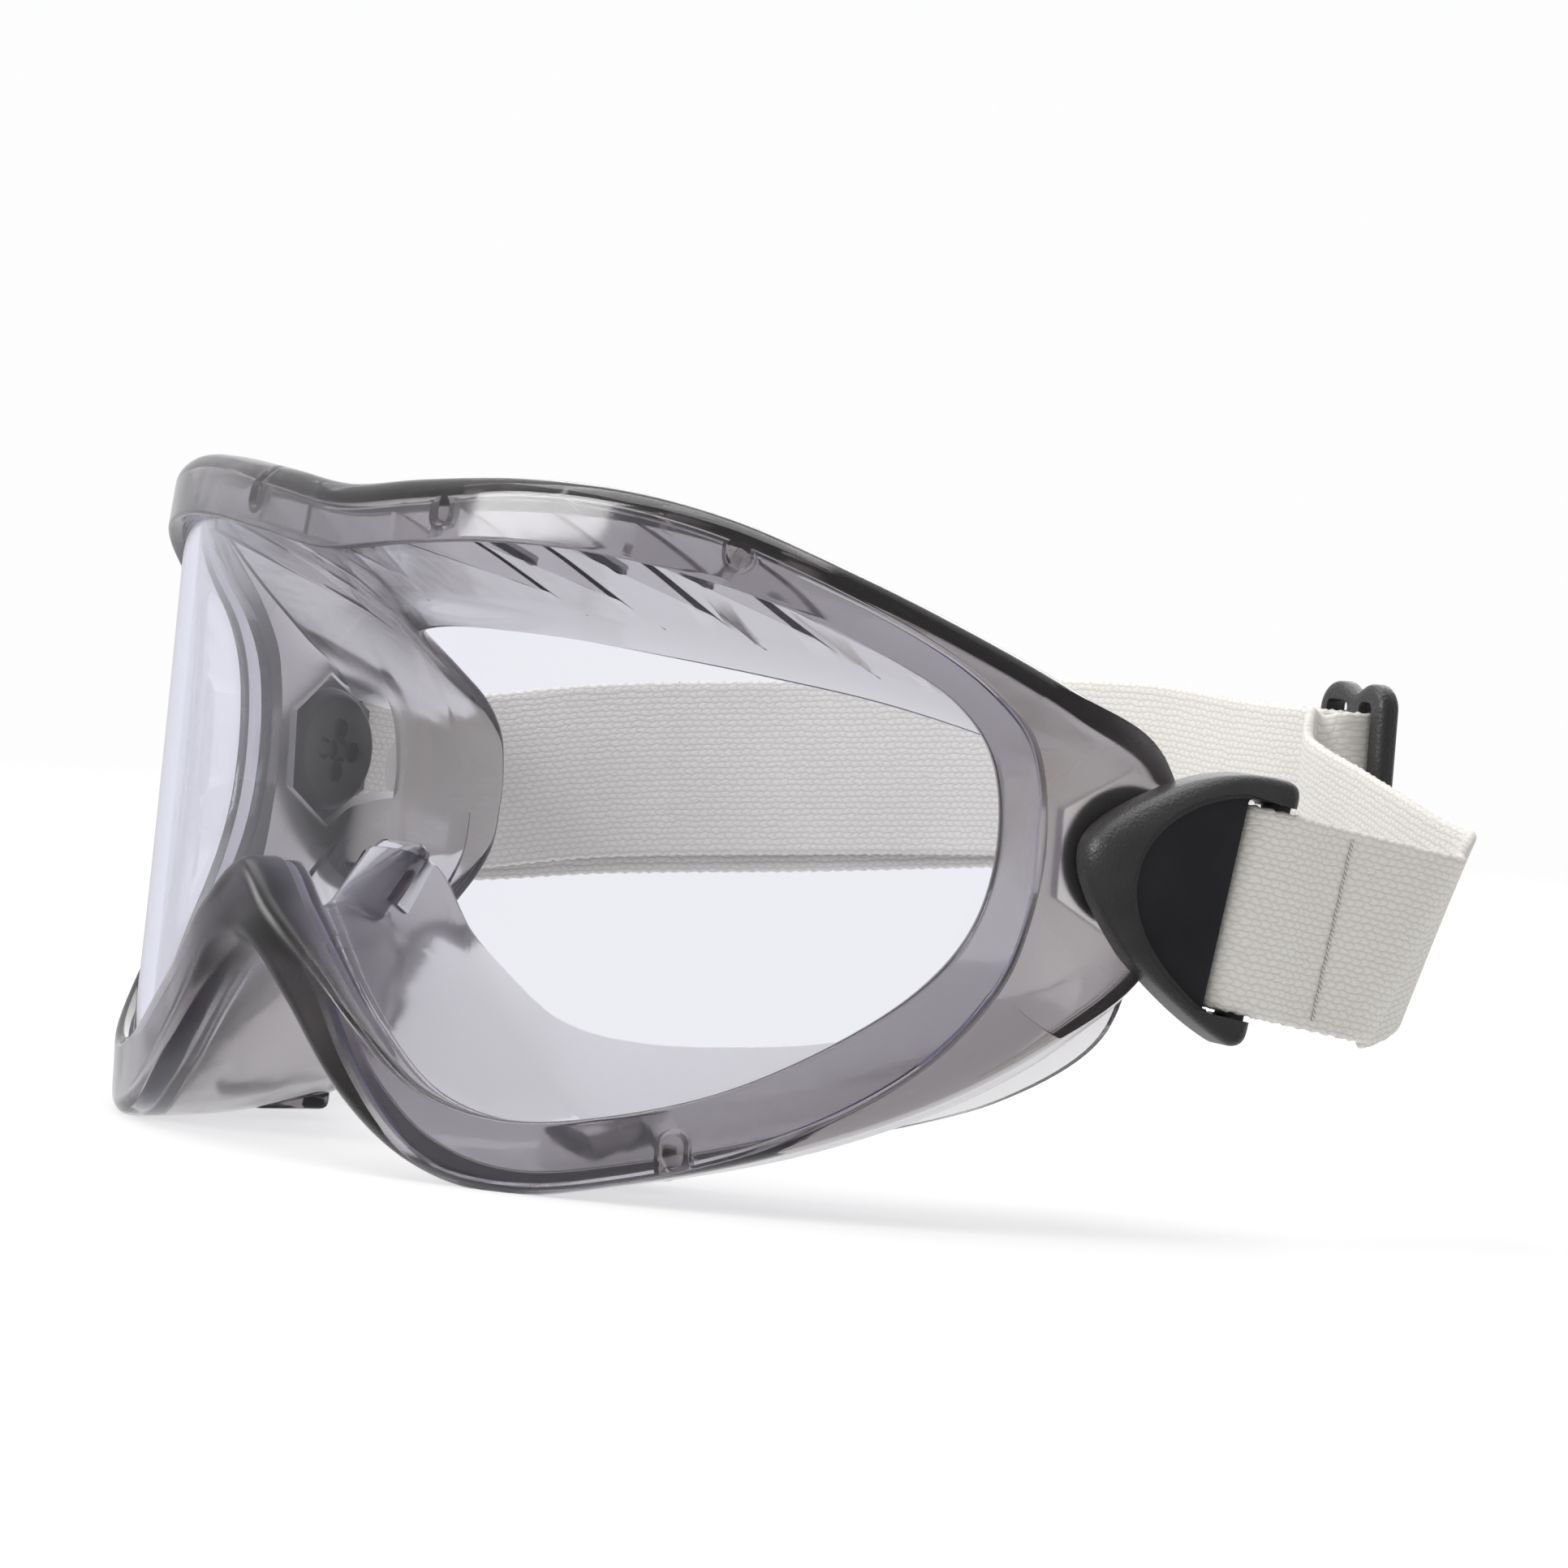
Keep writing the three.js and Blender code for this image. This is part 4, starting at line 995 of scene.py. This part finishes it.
def button(name, matrix):
    """Snap button inside the frame, with a four-lobed recess round a centre hole."""
    outer = -FACET_WALL - BUTTON_GAP
    inner = outer - BUTTON_THICK
    outline = disc_outline(BUTTON_RADIUS, 96)
    body = plate(name, matrix, outline, [
        (inner, 1.6), (inner + 0.1, 1.15), (inner + 0.5, 0.75), (inner + 1.4, 0.25),
        (outer - 0.5, 0.0), (outer - 0.15, 0.1), (outer, 0.4),
    ])
    lobe = disc_outline(1.5, 32)
    turns = [k * pi / 2 for k in range(4)]
    recess = [lobe + 3.0 * np.array((cos(turn), sin(turn))) for turn in turns]
    recess.append(disc_outline(2.0, 40))
    return cut_shapes(body, matrix, [(shape, inner - 1, inner + 1.2) for shape in recess] + [
        (disc_outline(1.3, 32), inner - 1, outer + 1),
        (disc_outline(STUD_RADIUS + 0.1, 48), outer - 0.7, outer + 1),
    ])


def build_clip(side, matrix):
    """One strap clip and its snap button."""
    rides = f"{side}_clip_body"
    clip = clip_body(f"{side}_swivel_clip", matrix)
    black_piece(clip, 0.22, 2, ["grain", "panel"], rides, f"{side}_clip")
    mark_panel(clip, matrix)
    black_piece(button(f"{side}_button", matrix), 0.15, 2, ["panel"], rides, f"{side}_snap_button")


# --- slider

# Slider's axes: x along the strap, y up, z towards the goggles' front.
SLIDER_ALONG = (cos(SLIDER_YAW), sin(SLIDER_YAW), 0)
SLIDER = axes(SLIDER_CENTRE, SLIDER_ALONG, UP, np.cross(SLIDER_ALONG, UP))


def slider_outline():
    """Two humps side by side, top and bottom, anticlockwise."""
    h, left, right = SLIDER_HEIGHT / 2, -SLIDER_LEFT / 2, SLIDER_RIGHT / 2
    top_right = arc2d((right, h - right), right, 0, 122, 18)
    top_left = arc2d((-left, h - left), left, 58, 180, 18)
    upper = np.vstack((top_right, ((0, h - 1.5),), top_left))
    lower = upper[::-1] * (1, -1)
    return even_outline(np.vstack((upper, lower)), 200)


def build_slider():
    """Three-bar slider."""
    t = SLIDER_THICK / 2
    levels = []
    for angle in np.radians(np.linspace(-90, 90, 12)):
        height = t * (0.65 * sin(angle) + copysign(0.35, angle))
        levels.append((height, 1.1 * (1 - cos(angle))))
    body = plate("strap_slider", SLIDER, slider_outline(), levels)
    half, middle = SLIDER_WINDOW / 2, SLIDER_BAR / 2
    windows = [
        box_outline(middle, SLIDER_RIGHT - SLIDER_BAR, -half, half, 0.9),
        box_outline(SLIDER_LEFT + SLIDER_LEFT_BAR, -middle, -half, half, 0.9),
    ]
    cut_shapes(body, SLIDER, [(window, -t - 1, t + 1) for window in windows])
    black_piece(body, 0.4, 3, ["grain"], "slider_body", "slider")


# --- elastic strap

def resample(path, ups, step):
    """A path and its width directions at even steps."""
    length = lengths(path)
    at = np.linspace(0, length[-1], max(8, round(length[-1] / step)))
    return interpolate(at, length, path), unit(interpolate(at, length, ups)), at


BAND_STEP = 0.5
BAND_COLUMNS = 42


def band(name, path, ups):
    """Elastic band along a path, with rounded scalloped edges."""
    path, ups, at = resample(path, ups, BAND_STEP)
    ahead = unit(np.gradient(path, axis=0))
    normals = np.cross(ahead, ups)
    slant = norm(normals, axis=1)
    normals = unit(normals)
    lean = np.sum(ahead * ups, 1) / slant
    s = np.linspace(-1, 1, BAND_COLUMNS)
    across = np.sign(s) * (1 - (1 - np.abs(s)) ** 1.35)
    half_width = STRAP_WIDTH / 2
    edge = np.sqrt(np.clip(1 - np.clip((np.abs(across) - 0.93) / 0.07, 0, 1) ** 2, 0, 1))
    ribs = 0.012 * np.cos(across * half_width * tau / 1.44)
    half = STRAP_THICK / 2 * (0.18 + 0.82 * edge) + ribs * edge
    rings = []
    for k in range(len(path)):
        scallop = 0.10 * sin(at[k] * tau / 1.9) + 0.05 * sin(at[k] * tau / 1.13)
        width = across * half_width
        width = width + np.sign(across) * scallop * smoothstep(np.abs(across), 0.9, 1.0)
        face = path[k] + np.outer(width / slant[k], ups[k])
        lift = np.outer(half, normals[k])
        rings.append(np.vstack((face + lift, (face - lift)[::-1])))
    obj = loft(name, rings)
    add_band_uv(obj, at, lean, np.concatenate((across, across[::-1])) * half_width)
    return shade(obj, 60)


def finish_band(obj, bodies, start, end, *nodes):
    """Gives a band the elastic, hides its CAD nodes and bakes its place; bodies, start and end are not
    used.
    """
    finish_piece(obj, ["elastic"], None, "elastic", *nodes)
    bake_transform(obj)


def curved_band(name, runs, count, bodies, start, end, *nodes):
    """Finished band through runs of (points, width directions)."""
    points = np.vstack([run for run, _ in runs])
    ups = np.vstack([np.broadcast_to(up, run.shape) for run, up in runs])
    obj = band(name, open_curve(points, count), unit(open_curve(ups, count)))
    finish_band(obj, bodies, start, end, *nodes)


def add_band_uv(obj, along, lean, across):
    """UV map in millimetres: along the band, and across it."""
    layer = obj.data.uv_layers.new(name="band")
    count = len(across)
    index = np.array([loop.vertex_index for loop in obj.data.loops])
    ring, side = index // count, across[index % count]
    uv = np.stack((along[ring] + lean[ring] * side, side), 1)
    layer.data.foreach_set("uv", uv.astype(np.float32).ravel())


def hairpin(far, join, bar, middle, reach, gap, turn, drop=STRAP_DROP):
    """Path in, round a bar and back out, as local (x, z) points."""
    half = bar + gap + STRAP_THICK / 2
    closed = (STRAP_THICK + gap) / 2
    way = copysign(1, turn - far)
    leg = [(far, closed), (join, closed), (reach, half)]
    arc = [(turn + way * half * cos(a), half * sin(a))
           for a in np.radians(np.linspace(90, -90, 9))]
    path = leg + arc + [(x, -z) for x, z in reversed(leg)]
    return np.array([(x, drop, middle + z) for x, z in path])


def clip_hairpin():
    """Strap wrapped round a clip's bar, in the clip's axes."""
    return hairpin(SEAM_REACH, 22.5, (BAR_OUTER - BAR_INNER) / 2, BAR_MIDDLE, 18.8, 0.3,
                   SLOT_TO - 0.3, CLIP_STRAP_DROP)


def fold_bend(layer):
    """Strap path round the slanted fold, and the direction of the fold's axis."""
    x, y, z = LEFT_CLIP[:3, :3].T
    axis = x * sin(FOLD_LEAN) + y * cos(FOLD_LEAN)
    out = x * cos(FOLD_LEAN) - y * sin(FOLD_LEAN)
    start = in_axes(LEFT_CLIP, (FOLD_FROM, CLIP_STRAP_DROP, layer))
    a = np.linspace(0, FOLD_TURN, 9)[:, None]
    path = start + FOLD_RADIUS * (
        axis * a * tan(FOLD_LEAN) + out * np.sin(a) - z * (1 - np.cos(a)))
    return path, axis


def in_slider(places):
    """Strap path from places in the slider's (x, z)."""
    return in_axes(SLIDER, [(x, STRAP_DROP, z) for x, z in places])


def build_left_band():
    """Sewn loop on the left clip, the run to the fold, and back to the slider."""
    layer = BAR_MIDDLE + LAYER / 2
    loop = in_axes(LEFT_CLIP, clip_hairpin()[::-1])
    leave = in_axes(LEFT_CLIP, [(31, CLIP_STRAP_DROP, layer)])
    fold, fold_axis = fold_bend(layer)
    away = np.array([(93.5, 108.6, -6.6), (82, 113.7, -4.6), (62, 123.6, -1.2)])
    back = np.array([(49.5, 129, 1.2), (43.4, 132.3, 2.6)])
    into = np.vstack((
        in_axes(SLIDER, [(0.9, -2, 8.2), (2.75, -1, 5.6)]),
        in_slider([(2.7, SLIDER_REST + 0.4), (2.5, 0.5), (2.42, -1.5), (2.1, -2.25),
                   (1.4, -SLIDER_REST), (0, -SLIDER_REST)]),
    ))
    clip_up = LEFT_CLIP[:3, 1]
    points = np.vstack((loop, leave, fold, away, back, into))
    ups = [clip_up] * (len(loop) + 1) + [fold_axis] * len(fold)
    ups += [(0.1, 0.3, 0.94), (0.02, 0.24, 0.97), (0, 0.1, 0.99)] + [UP] * (2 + len(into))
    path = open_curve(points, 1000)
    ups = unit(open_curve(ups, 1000))
    split = int(np.argmin(norm(path - away[-1], axis=1)))
    finish_band(band("left_band", path[: split + 1], ups[: split + 1]),
                ("left_clip_body", "goggles"), in_axes(LEFT_CLIP, (SEAM_REACH, 0, BAR_MIDDLE)),
                away[-1], "left_strap_loop", "left_strap_run")
    finish_band(band("front_slider_band", path[split:], ups[split:]), ("goggles", "slider_body"),
                away[-1], in_axes(SLIDER, (2, 0, 5)), "slider_strap_weave")


REAR_CUT = 190  # sample at which the rear layers are cut into pieces
REAR_THIN = 8  # every how many samples are kept


def rear_path(end, slider_depth, clip_depth, rise, count=360):
    """Centre line and width directions of one rear layer, slider to right clip."""
    middle = BAR_MIDDLE
    points = np.vstack((
        in_axes(SLIDER, [(end, STRAP_DROP, 0), (-44, 0, 0)]),
        [(-31, 146.2, 4.4), (-60, 133, 1.2), (-84, 113, -1.8), (-96.5, 98.5, -4.6)],
        in_axes(RIGHT_CLIP, [(30, CLIP_STRAP_DROP, middle), (25, CLIP_STRAP_DROP, middle)]),
    ))
    clip_up = RIGHT_CLIP[:3, 1]
    path = open_curve(points, count)
    ups = unit(open_curve([UP] * 5 + [clip_up] * 3, count))
    normals = unit(np.cross(np.gradient(path, axis=0), ups))
    t = np.linspace(0, 1, count + 1)[:, None]
    depth = -(slider_depth + (clip_depth - slider_depth) * smoothstep(t, 0.25, 0.6))
    return path + normals * depth + ups * rise * np.sin(pi * t) ** 2, ups


def build_rear_bands():
    """Inner and outer rear layers, round the right clip and the slider."""
    inner, inner_up = rear_path(-22.2, 3.4, LAYER / 2, 1.3)
    outer, outer_up = rear_path(-34, 0, -LAYER / 2, -1.3)
    weave = in_slider([
        (0, -SLIDER_REST), (-1.4, -SLIDER_REST), (-2.1, -2.25), (-2.42, -1.5), (-2.45, 0.8),
        (-3.1, 2.2), (-5, SLIDER_REST + 1.5), (-7.6, SLIDER_REST + LAYER),
        (-11.5, SLIDER_REST + LAYER),
    ])
    near, far = in_axes(SLIDER, [(-12, 0, 0), (-44, 0, 0)])
    cut, thin = REAR_CUT, REAR_THIN
    keep = np.argmax(norm(inner - weave[-1], axis=1) > 12)
    kept = slice(keep, cut, thin)
    curved_band("rear_inner_band", [(weave, UP), (inner[kept], inner_up[kept])], 500,
                ("slider_body", "goggles"), near, far, "rear_strap_inner")

    clip_end = in_axes(RIGHT_CLIP, (30, CLIP_STRAP_DROP, BAR_MIDDLE))
    last = len(inner) - np.argmax(norm(inner[::-1] - clip_end, axis=1) > 4)
    loop = in_axes(RIGHT_CLIP, clip_hairpin()[::-1])
    kept = slice(keep + (cut - 1 - keep) // thin * thin, last, thin)
    back = slice(last - 1, cut - 1, -thin)
    curved_band("right_clip_band", [
        (inner[kept], inner_up[kept]), (loop, RIGHT_CLIP[:3, 1]), (outer[back], outer_up[back]),
    ], 900, ("goggles", "right_clip_body"), inner[cut + thin],
                in_axes(RIGHT_CLIP, (SEAM_REACH, 0, BAR_MIDDLE)), "right_strap_loop")

    turn = in_axes(SLIDER, hairpin(SLIDER_LOOP_END, -14, SLIDER_THICK / 2, 0, -9.2,
                                   SLIDER_GAP, -6.85))
    kept = slice(last - 1 - (last - cut) // thin * thin, None, -thin)
    curved_band("rear_outer_band", [(outer[kept], outer_up[kept]), (turn, UP)], 700,
                ("slider_body", "goggles"), near, far, "rear_strap_outer", "slider_strap_loop")


def build_stitches(name, matrix, x, drop, z, node, body):
    """A row of lock stitches across the strap."""
    count = 13
    pitch = (STRAP_WIDTH - 2.4) / count
    turns = 12
    rings = []
    for k in range(count * 10 + 1):
        t = k / 10
        y = drop - (STRAP_WIDTH - 2.4) / 2 + t * pitch
        lift = 0.24 * abs(sin(pi * t)) ** 0.6
        centre = np.array((x + 0.05 * sin(pi * t), y, z + lift - 0.1))
        angles = np.linspace(0, tau, turns, endpoint=False)
        ring = [centre + 0.17 * np.array((cos(a), 0, sin(a))) for a in angles]
        rings.append(in_axes(matrix, ring))
    obj = shade(loft(name, rings), 60)
    finish_piece(obj, ["thread"], body, "thread", node)


# --- studio and camera

CAMERA_AZIMUTH = radians(50.997)
CAMERA_ELEVATION = radians(2.374)
CAMERA_ROLL = radians(4.514)
CAMERA_DISTANCE = 851.9
CAMERA_OFFSET = (62.04, 0.20)  # right and up, in mm
CAMERA_LENS = 157.03


FLOOR_GLOW = 0.6  # share of the floor that is lit from below
FADE_FROM, FADE_TO = 0.25, 1.1  # metres from the middle


def build_floor():
    """Pale floor that fades into the backdrop with distance."""
    count = 96
    outline = disc_outline(1, count)
    radii = [0.02, 0.3, 1, 4, 12]
    points = [(x * radius, y * radius, 0) for radius in radii for x, y in outline]
    faces = [tuple(range(count))] + ring_faces(len(radii), count)
    floor = new_object("floor", points, faces, drawn=False)
    n = Nodes("pale_floor")
    distance = n.vectors("LENGTH", n.place())["Value"]
    far = n.fill(n.add("MapRange"), distance, FADE_FROM, FADE_TO)[0]
    tone = n.ramp(n.noise(8), [(0.3, (0.88, 0.88, 0.88)), (0.7, (0.9, 0.9, 0.9))])
    paper = n.add("BsdfPrincipled", Base_Color=tone, Roughness=0.9, Specular_IOR_Level=0.1)
    glow = n.add("Emission", Color=(*BACKDROP, 1), Strength=1.0)
    share = n.maths("MAXIMUM", far, FLOOR_GLOW)
    material = n.surface(n.mix("MixShader", share, paper.outputs[0], glow.outputs[0]))
    floor.data.materials.append(material)
    floor.visible_glossy = False
    floor.visible_transmission = False


BACKDROP = (0.985, 0.985, 0.99)  # seen directly
SIDE_CARDS = (0.22, 0.215, 0.225)  # seen by rays that are bent sideways
SHEEN = (0.8, 0.8, 0.82)  # reflected at a grazing angle
CAMERA_SIDE = (0.09, 0.09, 0.10)  # reflected head on
AMBIENT = (0.64, 0.63, 0.61, 1)


def build_world():
    """Studio that turns with the camera: white behind the object, dark cards at the sides."""
    world = bpy.data.worlds.new("studio")
    bpy.context.scene.world = world
    n = Nodes("studio", world)
    towards = n.vectors("NORMALIZE", n.place("Camera"))[0]
    ahead = n.maths("MULTIPLY_ADD", n.parts(towards)[2], 0.5, 0.5)
    refracted = n.ramp(ahead, [(0.66, SIDE_CARDS), (0.88, BACKDROP)])
    reflected = n.ramp(ahead, [(0.38, CAMERA_SIDE), (0.62, SHEEN)])
    path = n.add("LightPath").outputs
    colour = AMBIENT
    for flag, seen in (("Is Glossy Ray", reflected), ("Is Transmission Ray", refracted),
                       ("Is Camera Ray", (*BACKDROP, 1))):
        colour = n.mix("MixRGB", path[flag], colour, seen)
    n.surface(n.add("Background", Color=colour).outputs[0])


LAMP_TARGET = Vector((0, 0, 0.045))  # in metres


def area_light(name, place, size, power):
    """Soft box at a row-frame place, facing the object."""
    data = bpy.data.lights.new(name, "AREA")
    data.shape = "RECTANGLE"
    data.size, data.size_y = size
    data.energy = power
    lamp = bpy.data.objects.new(name, data)
    lamp.location = place
    lamp.rotation_euler = (LAMP_TARGET - Vector(place)).to_track_quat("-Z", "Y").to_euler()
    bpy.context.scene.collection.objects.link(lamp)
    lamp.visible_camera = False
    lamp.visible_transmission = False


def build_lights():
    """Large soft boxes above, in front and behind."""
    area_light("top_box", (-0.1, -0.1, 0.9), (0.8, 0.8), 6.0)
    area_light("key_box", (-0.3, -1.0, 0.5), (0.5, 0.5), 8.0)
    area_light("rear_box", (-0.5, 0.7, 0.6), (0.8, 0.5), 3.0)


def build_camera():
    """Camera at the fitted viewing angle."""
    a, e, r = CAMERA_AZIMUTH, CAMERA_ELEVATION, CAMERA_ROLL
    back = np.array((sin(a) * cos(e), -cos(a) * cos(e), sin(e)))
    level = np.array((cos(a), sin(a), 0))
    upright = np.cross(back, level)
    right = cos(r) * level + sin(r) * upright
    up = -sin(r) * level + cos(r) * upright
    place = back * CAMERA_DISTANCE + right * CAMERA_OFFSET[0] + up * CAMERA_OFFSET[1]
    data = bpy.data.cameras.new("camera")
    data.sensor_width = 36
    data.lens = CAMERA_LENS
    data.clip_start, data.clip_end = 0.01, 50
    camera = bpy.data.objects.new("camera", data)
    matrix = axes(row(place), right, up, back)
    camera.matrix_world = Matrix(matrix.tolist())
    bpy.context.scene.collection.objects.link(camera)
    bpy.context.scene.camera = camera


def set_look():
    """Plain colour and enough bounces for stacked clear walls."""
    bpy.context.scene.view_settings.view_transform = "Standard"
    cycles = bpy.context.scene.cycles
    cycles.max_bounces = 24
    cycles.transmission_bounces = 24
    cycles.transparent_max_bounces = 32
    cycles.glossy_bounces = 6
    cycles.diffuse_bounces = 3
    cycles.caustics_refractive = False
    cycles.caustics_reflective = False


# --- assembly

build_frame()
build_lens()
build_clip("left", LEFT_CLIP)
build_clip("right", RIGHT_CLIP)
build_slider()
build_left_band()
build_rear_bands()
build_stitches("left_seam", LEFT_CLIP, 26, CLIP_STRAP_DROP, BAR_MIDDLE + STRAP_THICK + 0.15,
               "left_seam_thread", "left_clip_body")
build_stitches("slider_seam", SLIDER, SLIDER_LOOP_END + 2.5, STRAP_DROP,
               -STRAP_THICK - 0.15, "slider_seam_thread", "slider_body")
build_floor()
build_world()
build_lights()
build_camera()
set_look()
